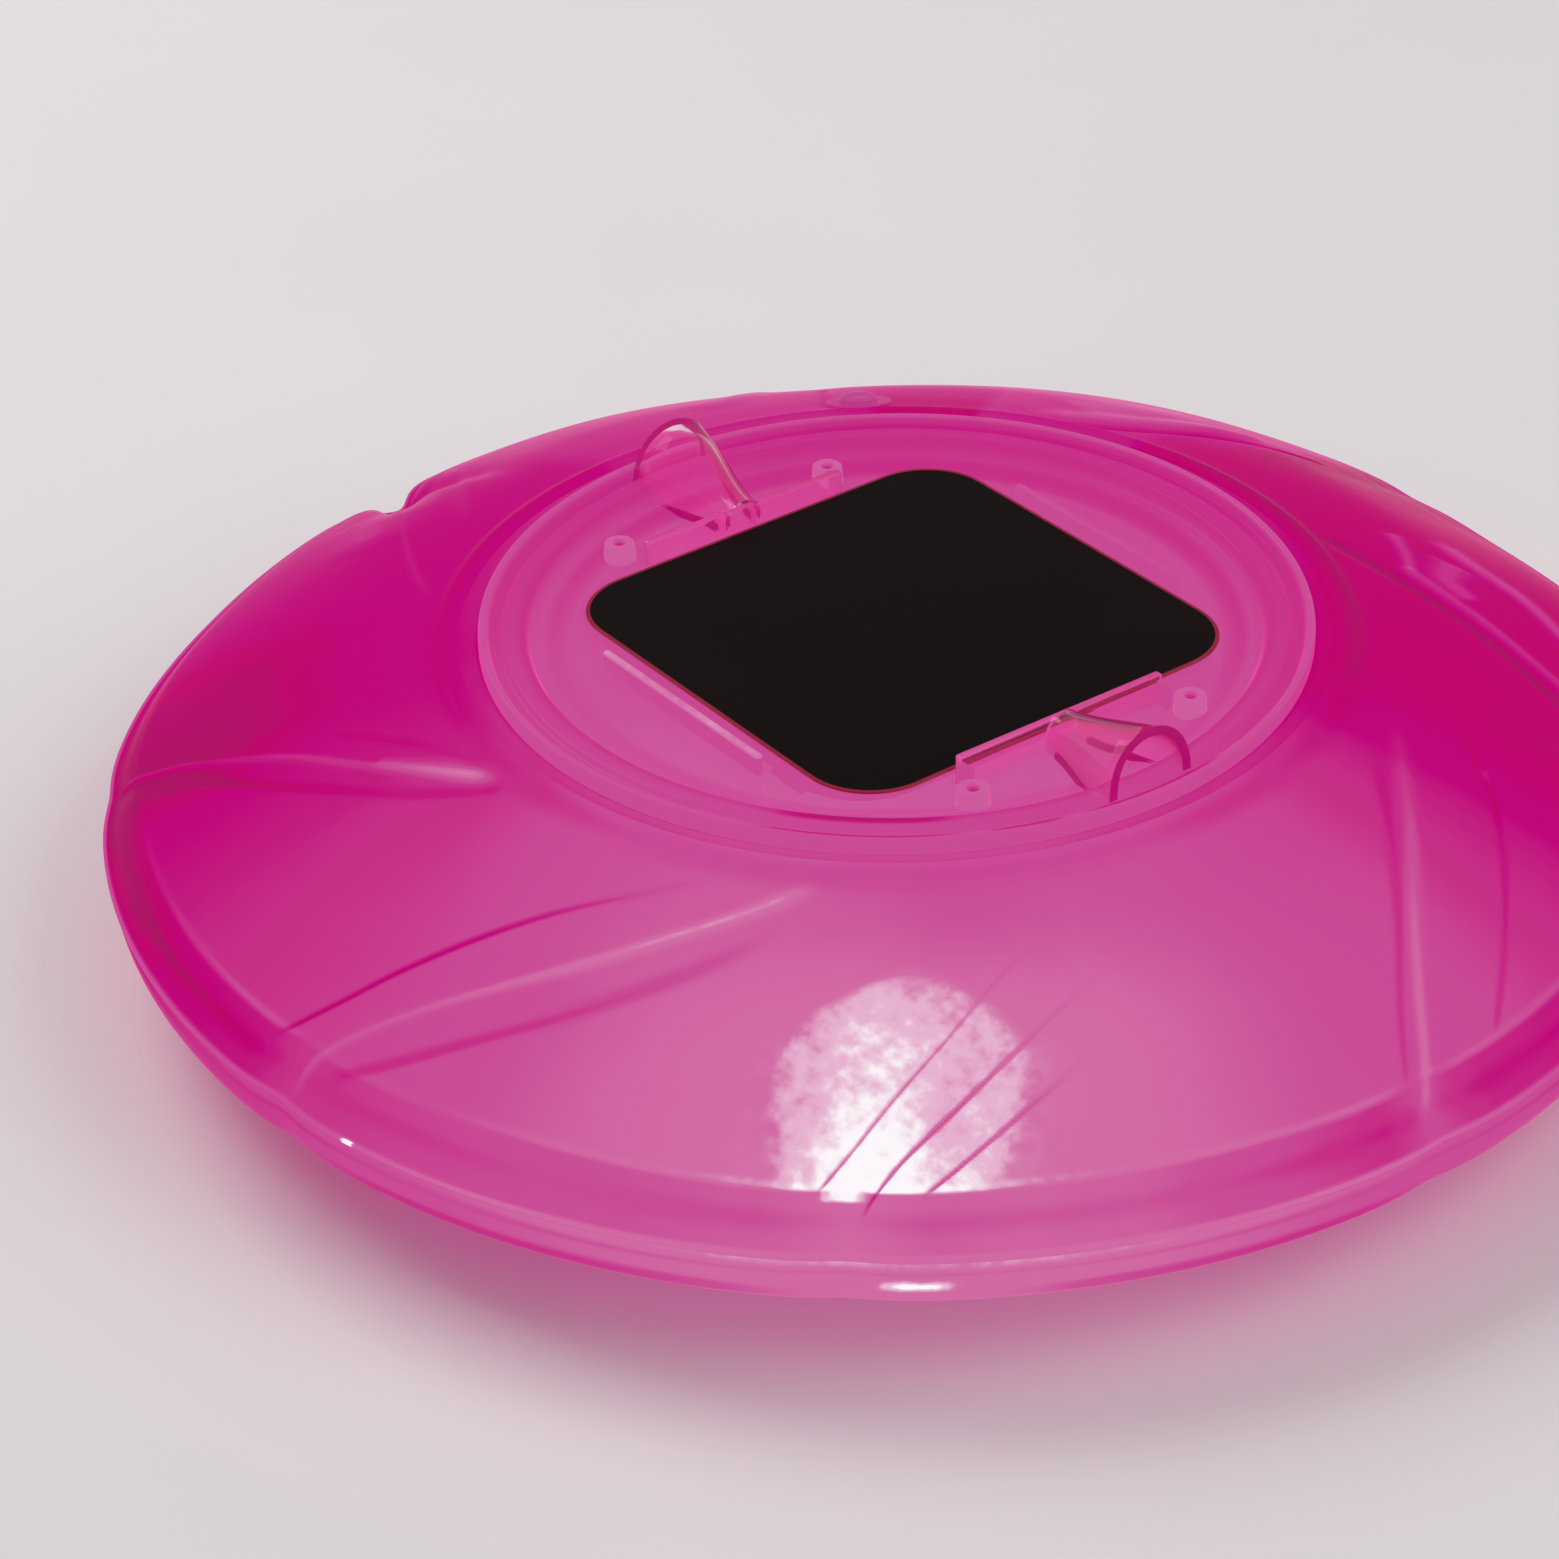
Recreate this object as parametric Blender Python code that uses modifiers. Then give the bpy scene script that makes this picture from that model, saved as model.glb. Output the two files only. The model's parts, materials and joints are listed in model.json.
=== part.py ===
"""Floating solar pool light: a twist-lock lamp unit in an inflatable clear PVC ring.

Metres, +Z up. The origin is on the lamp's axis, on the surface the light stands on.
+X runs through one of the two grip hoods. Heights below are measured from the float's
rim seam and lifted by SEAM_Z when a piece is made.
"""

import math

import bmesh
import bpy
from mathutils import Matrix, Vector

MM = 0.001
GAP = 0.3 * MM  # between pieces that touch

# Driving dimensions
SEAM_Z = 32 * MM  # height of the rim seam above the base
RIM_R = 175 * MM  # outer edge of the float
FILM = 0.5 * MM  # PVC film
COLLAR_BORE_R = 84.5 * MM
COLLAR_R = 97 * MM
LOWER_COLLAR_R = 78 * MM
COVER_R = 90.5 * MM
BODY_R = 83.5 * MM  # lamp body where it passes through the collar
LIP_Z = 38.5 * MM
TRAY_Z = 32.2 * MM  # tray floor that carries the solar panel
COVER_UNDER_Z = 30.4 * MM
BASE_R = 50 * MM
PANEL_SIDE = 108.2 * MM
PANEL_CORNER_R = 17 * MM
RIB_OFFSET = 57.2 * MM
HOOD_MOUTH_X = 82 * MM
HOOD_LENGTH = 21 * MM
HOOD_HALF_WIDTH = 11.5 * MM
HOOD_RISE = 14 * MM
BOSS_X = 64 * MM
BOSS_Y = 29 * MM
LUG_COUNT = 3
LUG_TURN = math.radians(25)  # from locked to released
NOTCH_ANGLE = math.radians(110)
LUG_WIDTH = math.radians(20)
NOTCH_WIDTH = math.radians(24)
CELL_COUNT = 6
BUTTON_AT = Vector((0, -30 * MM))
VALVE_R = 105 * MM
VALVE_ANGLE = math.radians(147.5)
VALVE_Z = 33.05 * MM
VALVE_TILT = math.radians(18.6)
STRAP_HINGE = (7.4 * MM, 0, 2.1 * MM)  # in the valve's own frame
STEPS = 48  # facets round the large turned pieces

TUBE_R = 6.4 * MM  # battery compartment bore
TUBE_WALL = 2 * MM
CAP_RECESS_R = 13.2 * MM
BOARD_Z = -18 * MM
BOARD_THICK = 1.6 * MM
BOARD_R = 38 * MM


def clear_scene():
    for obj in list(bpy.data.objects):
        bpy.data.objects.remove(obj, do_unlink=True)


def new_collection(name):
    collection = bpy.data.collections.new(name)
    bpy.context.scene.collection.children.link(collection)
    return collection


def material(name, colour, roughness, metallic=0.0, transmission=0.0):
    made = bpy.data.materials.new(name)
    made.use_nodes = True
    shader = made.node_tree.nodes["Principled BSDF"]
    shader.inputs["Base Color"].default_value = (*colour, 1)
    shader.inputs["Roughness"].default_value = roughness
    shader.inputs["Metallic"].default_value = metallic
    shader.inputs["Transmission Weight"].default_value = transmission
    return made


clear_scene()
PARTS = new_collection("floating_pool_light")
CUTTERS = new_collection("cutters")

PINK_FILM = material("pink_lit_film", (0.80, 0.07, 0.38), 0.25, transmission=0.6)
PINK_CLEAR = material("pink_lit_clear", (0.84, 0.10, 0.42), 0.12, transmission=0.8)
SOFT_CLEAR = material("soft_clear_pvc", (0.85, 0.16, 0.48), 0.3, transmission=0.5)
CELL_BLACK = material("cell_black", (0.012, 0.010, 0.012), 0.2)
BOARD_GREEN = material("board_green", (0.02, 0.16, 0.07), 0.5)
FOAM = material("foam", (0.85, 0.84, 0.82), 0.9)
RUBBER = material("rubber", (0.05, 0.05, 0.05), 0.7)
STEEL = material("steel", (0.62, 0.62, 0.63), 0.35, metallic=1.0)
BRASS = material("brass", (0.78, 0.60, 0.28), 0.35, metallic=1.0)
LED_CLEAR = material("led_clear", (0.95, 0.55, 0.80), 0.1, transmission=0.7)
CHIP_BLACK = material("chip_black", (0.02, 0.02, 0.02), 0.45)
CELL_GREEN = material("battery_green", (0.05, 0.35, 0.16), 0.4)
WIRE_RED = material("wire_red", (0.6, 0.02, 0.02), 0.45)
WIRE_BLACK = material("wire_black", (0.015, 0.015, 0.015), 0.45)
WHITE = material("white_plastic", (0.82, 0.82, 0.80), 0.4)


def add(name, data, mat=None, collection=None):
    """A new object in the parts collection, or in the one given."""
    obj = bpy.data.objects.new(name, data)
    (collection or PARTS).objects.link(obj)
    if mat:
        data.materials.append(mat)
    return obj


def as_cutter(obj):
    """Turns an object into a helper: it shapes other pieces and isn't one itself."""
    for collection in list(obj.users_collection):
        collection.objects.unlink(obj)
    CUTTERS.objects.link(obj)
    obj.hide_render = True
    obj.display_type = "WIRE"
    return obj


def shade(obj):
    if obj.type == "MESH":
        obj.data.shade_smooth()
        obj.data.set_sharp_from_angle(angle=math.radians(35))
    return obj


def boolean(obj, other, operation):
    step = obj.modifiers.new(operation.lower() + "_" + other.name, "BOOLEAN")
    step.operation = operation
    step.object = other
    step.solver = "EXACT"
    return obj


def mesh_from(name, points, edges=(), faces=()):
    mesh = bpy.data.meshes.new(name)
    mesh.from_pydata([tuple(p) for p in points], edges, faces)
    mesh.update()
    return mesh


def turned(name, profile, mat, closed=True, steps=STEPS, angle=2 * math.pi, film=0.0):
    """A profile of (radius, height) points turned about Z.

    A closed profile runs clockwise seen with +X right and +Z up, so that its outer side
    goes from top to bottom. An open one with film set becomes a shell of that thickness.
    """
    points = [(r, 0, z) for r, z in profile]
    count = len(points)
    edges = [(i, i + 1) for i in range(count - 1)]
    if closed:
        edges.append((count - 1, 0))
    obj = add(name, mesh_from(name, points, edges), mat)
    screw = obj.modifiers.new("turn", "SCREW")
    screw.angle = angle
    screw.steps = steps
    screw.render_steps = steps
    screw.use_merge_vertices = True
    screw.merge_threshold = 0.00002
    screw.use_smooth_shade = True
    if film:
        shell = obj.modifiers.new("film", "SOLIDIFY")
        shell.thickness = film
        shell.offset = 0
    return obj


def lifted(profile, up=SEAM_Z):
    return [(r, z + up) for r, z in profile]


def in_mm(*pairs):
    return [(a * MM, b * MM) for a, b in pairs]


def box(name, centre, size, mat, bevel=0.0):
    mesh = bpy.data.meshes.new(name)
    cage = bmesh.new()
    bmesh.ops.create_cube(cage, size=1)
    bmesh.ops.scale(cage, vec=size, verts=cage.verts)
    cage.to_mesh(mesh)
    cage.free()
    obj = add(name, mesh, mat)
    obj.location = centre
    if bevel:
        rounding = obj.modifiers.new("edges", "BEVEL")
        rounding.width = bevel
        rounding.segments = 2
    return obj


def rod(name, centre, radius, length, mat, sides=24, top_radius=None):
    """A cylinder or cone along Z, centred on a point."""
    mesh = bpy.data.meshes.new(name)
    cage = bmesh.new()
    bmesh.ops.create_cone(
        cage,
        cap_ends=True,
        segments=sides,
        radius1=radius,
        radius2=radius if top_radius is None else top_radius,
        depth=length,
    )
    cage.to_mesh(mesh)
    cage.free()
    obj = add(name, mesh, mat)
    obj.location = centre
    return obj


def upright(name, at, radius, low, high, mat=None, sides=24):
    """A cylinder standing at an (x, y) point between two heights above the seam."""
    centre = (at[0], at[1], SEAM_Z + (low + high) / 2)
    return rod(name, centre, radius, high - low, mat, sides)


def plate(name, half, corner, low, thick, mat):
    """A rounded square plate whose lower face is at the given height above the seam."""
    curve = bpy.data.curves.new(name, "CURVE")
    curve.dimensions = "2D"
    curve.fill_mode = "BOTH"
    curve.extrude = thick / 2
    outline = rounded_square(half, half, corner)
    spline = curve.splines.new("POLY")
    spline.points.add(len(outline) - 1)
    for point, (x, y) in zip(spline.points, outline):
        point.co = (x, y, 0, 1)
    spline.use_cyclic_u = True
    obj = add(name, curve, mat)
    obj.location = (0, 0, SEAM_Z + low + thick / 2)
    return obj


def rounded_square(half_x, half_y, corner, per_corner=6):
    """Outline points, anticlockwise, with an arc at each corner."""
    points = []
    for quarter in range(4):
        sx = 1 if quarter in (0, 3) else -1
        sy = 1 if quarter in (0, 1) else -1
        for step in range(per_corner + 1):
            a = math.pi / 2 * (quarter + step / per_corner)
            x = sx * (half_x - corner) + corner * math.cos(a)
            y = sy * (half_y - corner) + corner * math.sin(a)
            points.append((x, y))
    return points


def wire(name, route, radius, mat, sides=1, cyclic=False):
    """A tube along points given in metres, as a poly spline with round section."""
    curve = bpy.data.curves.new(name, "CURVE")
    curve.dimensions = "3D"
    curve.bevel_depth = radius
    curve.bevel_resolution = sides
    curve.use_fill_caps = not cyclic
    spline = curve.splines.new("POLY")
    spline.points.add(len(route) - 1)
    for point, co in zip(spline.points, route):
        point.co = (*co, 1)
    spline.use_cyclic_u = cyclic
    return add(name, curve, mat)


def smooth_route(points, per_span=4):
    """Points on a Catmull-Rom curve through the route's own points."""
    pts = [Vector(p) for p in points]
    ends = [2 * pts[0] - pts[1], *pts, 2 * pts[-1] - pts[-2]]
    found = []
    for i in range(1, len(ends) - 2):
        a, b, c, d = ends[i - 1 : i + 3]
        for step in range(per_span):
            t = step / per_span
            found.append(
                0.5
                * (
                    2 * b
                    + (c - a) * t
                    + (2 * a - 5 * b + 4 * c - d) * t**2
                    + (3 * b - a - 3 * c + d) * t**3
                )
            )
    found.append(pts[-1])
    return found


def mesh_copy(obj):
    """The evaluated object as a plain mesh object, with its caps welded; the source goes."""
    bpy.context.view_layer.update()
    graph = bpy.context.evaluated_depsgraph_get()
    mesh = bpy.data.meshes.new_from_object(obj.evaluated_get(graph))
    cage = bmesh.new()
    cage.from_mesh(mesh)
    bmesh.ops.remove_doubles(cage, verts=cage.verts, dist=0.000002)
    bmesh.ops.recalc_face_normals(cage, faces=cage.faces)
    cage.to_mesh(mesh)
    cage.free()
    name, matrix = obj.name, obj.matrix_world.copy()
    bpy.data.objects.remove(obj, do_unlink=True)
    made = add(name, mesh)
    made.matrix_world = matrix
    return made


# ---------------------------------------------------------------- the inflatable float


def upper_film_profile():
    """From the rim weld over the shoulder and up the gentle cone to the collar."""
    cone = in_mm(
        (172.6, 0.5), (171, 2.8), (168.8, 5.8), (158, 12.2), (145, 18.3),
        (125, 26.4), (108, 32), (98.5, 35.2), (95, 35.6),
    )  # fmt: skip
    return [(RIM_R, 0.4 * MM), *cone]


def lower_film_profile():
    belly = in_mm(
        (173.6, -0.6), (173.9, -4.5), (172.6, -9.4), (169.4, -13.2), (161, -17),
        (148, -20.2), (130, -22.9), (110, -25), (84, -27.2), (77, -27.4),
    )  # fmt: skip
    return [(RIM_R, -0.4 * MM), *belly]


def valve_matrix():
    """The valve's own frame: Z out of the film, X towards the rim."""
    spin = Matrix.Rotation(VALVE_ANGLE, 4, "Z")
    tilt = Matrix.Rotation(VALVE_TILT, 4, "Y")
    return spin @ Matrix.Translation((VALVE_R, 0, VALVE_Z + SEAM_Z)) @ tilt


def make_float():
    upper = turned("float_upper_film", lifted(upper_film_profile()), PINK_FILM, False, film=FILM)
    hole = as_cutter(rod("valve_hole", (0, 0, 0), 5.2 * MM, 12 * MM, None))
    hole.matrix_world = valve_matrix()
    boolean(upper, hole, "DIFFERENCE")
    turned("float_lower_film", lifted(lower_film_profile()), PINK_FILM, False, film=FILM)
    inner = in_mm((93.2, 28.1), (90, 12), (86, -6), (79.5, -23))
    turned("float_inner_wall", lifted(inner), PINK_FILM, False, film=FILM)


def make_collars():
    """The upper ring has a step that the lamp's lip sits in, and notches for its lugs."""
    step_z, top_z, bottom_z = 34 * MM, 35 * MM, 28.7 * MM
    section = [
        (COLLAR_R, top_z),
        (COLLAR_R, bottom_z),
        (COLLAR_BORE_R, bottom_z),
        (COLLAR_BORE_R, step_z),
        (COVER_R + 0.8 * MM, step_z),
        (COVER_R + 0.8 * MM, top_z),
    ]
    ring = turned("upper_collar_ring", lifted(section), PINK_CLEAR)
    for index in range(LUG_COUNT):
        middle = NOTCH_ANGLE + index * 2 * math.pi / LUG_COUNT
        wedge = [
            (88.8 * MM, top_z + 2 * MM),
            (88.8 * MM, bottom_z - 2 * MM),
            (80 * MM, bottom_z - 2 * MM),
            (80 * MM, top_z + 2 * MM),
        ]
        cutter = sector(f"lug_notch_{index}", lifted(wedge), middle, NOTCH_WIDTH)
        boolean(ring, cutter, "DIFFERENCE")
    outer = [(LOWER_COLLAR_R, -24 * MM), (LOWER_COLLAR_R, -27 * MM)]
    shelf = [*outer, *in_mm((71, -27), (71, -23.5), (77, -23.5))]
    turned("lower_collar_ring", lifted(shelf), PINK_CLEAR)


def sector(name, section, middle, width, steps=4):
    """A closed wedge of a turned ring, as a helper for cutting or joining."""
    obj = turned(name, section, None, steps=steps, angle=width)
    obj = mesh_copy(obj)
    cage = bmesh.new()
    cage.from_mesh(obj.data)
    bmesh.ops.holes_fill(cage, edges=[e for e in cage.edges if e.is_boundary])
    bmesh.ops.recalc_face_normals(cage, faces=cage.faces)
    cage.to_mesh(obj.data)
    cage.free()
    obj.rotation_euler.z = middle - width / 2
    return as_cutter(obj)


def make_valve():
    """Soft inflation valve: welded tube, stopper on a strap, and the non-return flap."""
    frame = valve_matrix()
    tube = in_mm(
        (4.6, 1.3), (4.6, 1.0), (8, 0.95), (8, 0.55), (4.6, 0.45),
        (4.6, -13), (3.5, -13), (3.5, 0.8), (3.9, 1.3),
    )  # fmt: skip
    body = turned("valve_body", tube, SOFT_CLEAR, steps=24)
    body.matrix_world = frame
    hinge_x, _, hinge_z = STRAP_HINGE
    add_in_frame(body, "strap_anchor", (hinge_x, 0, 0.9 * MM), (1.4 * MM, 3 * MM, 0.8 * MM), frame)

    stopper = in_mm((0, 3.2), (2.2, 3.0), (3.8, 2.5), (4.6, 1.85), (3.3, 1.65), (2.4, -1.2), (0, -1.2))
    plug = turned("valve_plug", stopper, SOFT_CLEAR, closed=False, steps=20)
    plug.matrix_world = frame
    strap_from, strap_to = 3 * MM, hinge_x + 0.7 * MM
    strap_at = ((strap_from + strap_to) / 2, 0, hinge_z)
    add_in_frame(plug, "plug_strap", strap_at, (strap_to - strap_from, 3 * MM, 0.7 * MM), frame)
    add_in_frame(plug, "plug_tab", (-5.2 * MM, 0, 2.25 * MM), (3 * MM, 3.4 * MM, 0.8 * MM), frame)

    flap = rod("valve_flap", (0, 0, -13.7 * MM), 4.4 * MM, 0.8 * MM, SOFT_CLEAR, 20)
    flap.matrix_world = frame @ flap.matrix_basis


def add_in_frame(obj, name, centre, size, frame):
    """Joins a block, placed in the given frame, to an object."""
    block = as_cutter(box(name, centre, size, None))
    block.matrix_world = frame @ block.matrix_basis
    boolean(obj, block, "UNION")


# ---------------------------------------------------------------- the lamp's cover


def cover_profile():
    """Clear tray: raised lip, groove, land, and a step down to the floor for the panel."""
    return [
        (0, TRAY_Z),
        (71.5 * MM, TRAY_Z),
        (73.5 * MM, 32.8 * MM),
        (79.2 * MM, 34.2 * MM),
        (80.6 * MM, 37.0 * MM),
        (85.2 * MM, 37.2 * MM),
        (85.8 * MM, 36.0 * MM),
        (88.0 * MM, 36.0 * MM),
        (88.6 * MM, LIP_Z - 0.5 * MM),
        (89.4 * MM, LIP_Z),
        (COVER_R - 0.5 * MM, LIP_Z - 0.2 * MM),
        (COVER_R, LIP_Z - 1 * MM),
        (COVER_R, 34.3 * MM),
        (BODY_R, 34.3 * MM),
        (BODY_R, COVER_UNDER_Z),
        (0, COVER_UNDER_Z),
    ]


def grip_hood(name, side):
    """Quarter-ellipsoid shell, mouth facing outwards, with a skirt down into the tray."""
    wall, skirt_z, spring_z = 1.2 * MM, 31.3 * MM, 36.5 * MM
    cage = bmesh.new()
    bmesh.ops.create_uvsphere(cage, u_segments=24, v_segments=12, radius=1)
    bmesh.ops.scale(cage, vec=(HOOD_LENGTH, HOOD_HALF_WIDTH, HOOD_RISE), verts=cage.verts)
    for normal in (Vector((1, 0, 0)), Vector((0, 0, -1))):
        whole = cage.verts[:] + cage.edges[:] + cage.faces[:]
        bmesh.ops.bisect_plane(
            cage, geom=whole, dist=0.00001, plane_co=(0, 0, 0), plane_no=normal, clear_outer=True
        )
    rim = [e for e in cage.edges if all(abs(v.co.z) < 0.00001 for v in e.verts)]
    grown = bmesh.ops.extrude_edge_only(cage, edges=rim)["geom"]
    lower = [g for g in grown if isinstance(g, bmesh.types.BMVert)]
    bmesh.ops.translate(cage, vec=(0, 0, skirt_z - spring_z), verts=lower)
    bmesh.ops.recalc_face_normals(cage, faces=cage.faces)
    mesh = bpy.data.meshes.new(name)
    cage.to_mesh(mesh)
    cage.free()
    obj = add(name, mesh)
    shell = obj.modifiers.new("wall", "SOLIDIFY")
    shell.thickness = wall
    shell.offset = -1
    obj.location = (side * HOOD_MOUTH_X, 0, SEAM_Z + spring_z)
    obj.rotation_euler.z = 0 if side > 0 else math.pi
    return as_cutter(obj)


def make_cover():
    cover = turned("top_cover", lifted(cover_profile()), PINK_CLEAR, closed=False)
    rib_length, rib_wall, rib_top = 54 * MM, 1.8 * MM, 37.2 * MM
    for index in range(4):
        a = index * math.pi / 2
        centre = (
            RIB_OFFSET * math.cos(a),
            RIB_OFFSET * math.sin(a),
            SEAM_Z + (rib_top + TRAY_Z - 1 * MM) / 2,
        )
        size = (rib_wall, rib_length, rib_top - TRAY_Z + 1 * MM)
        rib = as_cutter(box(f"panel_rib_{index}", centre, size, None))
        rib.rotation_euler.z = a
        boolean(cover, rib, "UNION")
    for side in (1, -1):
        boolean(cover, grip_hood(f"grip_hood_{side}", side), "UNION")
    for x in (BOSS_X, -BOSS_X):
        for y in (BOSS_Y, -BOSS_Y):
            post = as_cutter(
                upright("cover_boss", (x, y), 3.6 * MM, 18 * MM, COVER_UNDER_Z + 1 * MM, sides=16)
            )
            boolean(cover, post, "UNION")
            pilot = as_cutter(upright("boss_pilot", (x, y), 1.5 * MM, 16 * MM, 29 * MM, sides=8))
            boolean(cover, pilot, "DIFFERENCE")
    for at in panel_lead_holes():
        drill = as_cutter(upright("lead_hole", at, 1.1 * MM, 28 * MM, 34 * MM, sides=12))
        boolean(cover, drill, "DIFFERENCE")


def panel_lead_holes():
    """Where the panel's two leads pass down through the tray, under the panel's edge."""
    return ((33 * MM, -51 * MM), (38 * MM, -51 * MM))


def make_panel():
    """Foam pad, backing board, silicon strips and the clear layer over them."""
    half = PANEL_SIDE / 2
    pad_z = TRAY_Z + GAP
    plate("panel_pad", half - 6 * MM, PANEL_CORNER_R - 6 * MM, pad_z, 0.6 * MM, FOAM)
    board_z = pad_z + 0.6 * MM + GAP
    board = mesh_copy(plate("panel_board", half, PANEL_CORNER_R, board_z, 1.2 * MM, None))
    board.data.materials.append(CELL_BLACK)
    tab_centre = (36 * MM, -half, SEAM_Z + board_z + 0.6 * MM)
    tab = as_cutter(box("terminal_tab", tab_centre, (10 * MM, 3.2 * MM, 1.0 * MM), None))
    boolean(board, tab, "UNION")
    cell_z = board_z + 1.2 * MM + 0.1 * MM
    for index in range(CELL_COUNT):
        cell_strip(index, cell_z)
    clear_z = cell_z + 0.25 * MM + 0.1 * MM
    plate("panel_clear_layer", half - 0.6 * MM, PANEL_CORNER_R - 0.6 * MM, clear_z, 0.5 * MM, CELL_BLACK)


def cell_strip(index, low):
    """One of the silicon strips that lie side by side across the board."""
    pitch, width, thick = 16 * MM, 15.4 * MM, 0.25 * MM
    x = (index - (CELL_COUNT - 1) / 2) * pitch
    length = 84 * MM if index in (0, CELL_COUNT - 1) else 96 * MM
    centre = (x, 0, SEAM_Z + low + thick / 2)
    box(f"solar_cell_{index + 1}", centre, (width, length, thick), CELL_BLACK)


# ---------------------------------------------------------------- the lamp's bowl


def bowl_outer(inset=0.0):
    """Outer side, top to base; an inset keeps a helper just inside it."""
    side = in_mm(
        (83.5, 28.6), (83.5, 22), (81.5, 10), (77.5, -4), (71.5, -15),
        (64.5, -24), (58, -29.2), (53, -31.4),
    )  # fmt: skip
    side.append((BASE_R, -SEAM_Z))
    return [(r - inset, z + 0.7 * inset) for r, z in side]


def bowl_section():
    """From the top of the battery tube, down its outside, round the bowl and up its bore."""
    tube_top = 24 * MM
    tube_outer = TUBE_R + TUBE_WALL
    hub_r, hub_top, ceiling, floor = 15.6 * MM, -25.8 * MM, -27.6 * MM, -30 * MM
    inner_side = in_mm(
        (49, -30), (52, -29.4), (57, -27.3), (63, -22.4), (69.8, -13.8),
        (75.6, -3.2), (79.5, 10.3), (81.5, 22), (81.5, 28.6),
    )  # fmt: skip
    return [
        (0, tube_top + TUBE_WALL),
        (tube_outer, tube_top + TUBE_WALL),
        (tube_outer, hub_top),
        (hub_r, hub_top),
        (hub_r, floor),
        *inner_side,
        *bowl_outer(),
        (CAP_RECESS_R, -32 * MM),
        (CAP_RECESS_R, ceiling),
        (TUBE_R, ceiling),
        (TUBE_R, tube_top),
        (0, tube_top),
    ]


def make_bowl():
    """Clear bowl with the battery tube up its middle, screw posts and bayonet lugs."""
    bowl = turned("lamp_bowl", lifted(bowl_section()), PINK_CLEAR, closed=False)
    within = [(0, 27 * MM), *bowl_outer(1 * MM)[1:], (0, -31.3 * MM)]
    filled = as_cutter(turned("bowl_within", lifted(within), None, closed=False))
    for index, at in enumerate(screw_places(), 1):
        post = as_cutter(upright(f"screw_post_{index}", at, 4.6 * MM, -30 * MM, 17.6 * MM, sides=16))
        boolean(post, filled, "INTERSECT")
        boolean(bowl, post, "UNION")
    for index, at in enumerate(screw_places(), 1):
        way = as_cutter(upright(f"screw_way_{index}", at, 1.9 * MM, 2 * MM, 21 * MM, sides=12))
        sink = as_cutter(upright(f"screw_sink_{index}", at, 3.4 * MM, -34 * MM, 6 * MM, sides=16))
        boolean(bowl, way, "DIFFERENCE")
        boolean(bowl, sink, "DIFFERENCE")
    for index, at in enumerate(standoff_places(), 1):
        standoff = upright(f"standoff_{index}", at, 2.8 * MM, -31.1 * MM, BOARD_Z - GAP, sides=12)
        pilot = upright(f"standoff_pilot_{index}", at, 0.95 * MM, -25 * MM, -16 * MM, sides=8)
        boolean(bowl, as_cutter(standoff), "UNION")
        boolean(bowl, as_cutter(pilot), "DIFFERENCE")
    button_hole = upright("button_hole", BUTTON_AT, 5 * MM, -34 * MM, -28 * MM, sides=20)
    boolean(bowl, as_cutter(button_hole), "DIFFERENCE")
    lug = in_mm((87.8, 28.3), (87.8, 25.4), (82.5, 23.4), (82.5, 28.3))
    for index in range(LUG_COUNT):
        middle = NOTCH_ANGLE - LUG_TURN + index * 2 * math.pi / LUG_COUNT
        boolean(bowl, sector(f"lug_{index}", lifted(lug), middle, LUG_WIDTH), "UNION")


def screw_places():
    return [(x, y) for x in (BOSS_X, -BOSS_X) for y in (BOSS_Y, -BOSS_Y)]


def standoff_places():
    return [
        (33 * MM * math.cos(a), 33 * MM * math.sin(a))
        for a in (math.radians(90 + 120 * k) for k in range(3))
    ]


def screw(name, at, head_z, length, radius, head_radius, points_up):
    """Pan-head screw; its head's bearing face is at head_z and the shank runs from it."""
    sign = 1 if points_up else -1
    head = 1.8 * radius
    section = [
        (0, head_z - sign * head),
        (0.7 * head_radius, head_z - sign * head),
        (head_radius, head_z - sign * 0.45 * head),
        (head_radius, head_z),
        (radius, head_z),
        (radius, head_z + sign * (length - radius)),
        (0, head_z + sign * length),
    ]
    if points_up:
        section.reverse()
    obj = turned(name, lifted(section), STEEL, closed=False, steps=10)
    obj.location = (at[0], at[1], 0)


def make_fasteners():
    for index, at in enumerate(screw_places(), 1):
        screw(f"housing_screw_{index}", at, 5.7 * MM, 21 * MM, 1.3 * MM, 3.0 * MM, True)
    top = BOARD_Z + BOARD_THICK + GAP
    for index, at in enumerate(standoff_places(), 1):
        screw(f"board_screw_{index}", at, top, 6 * MM, 0.75 * MM, 1.9 * MM, False)
    gasket = in_mm((83.0, 30.1), (83.0, 28.9), (80.2, 28.9), (80.2, 30.1))
    turned("cover_gasket", lifted(gasket), RUBBER)


# ---------------------------------------------------------------- the electronics


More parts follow.
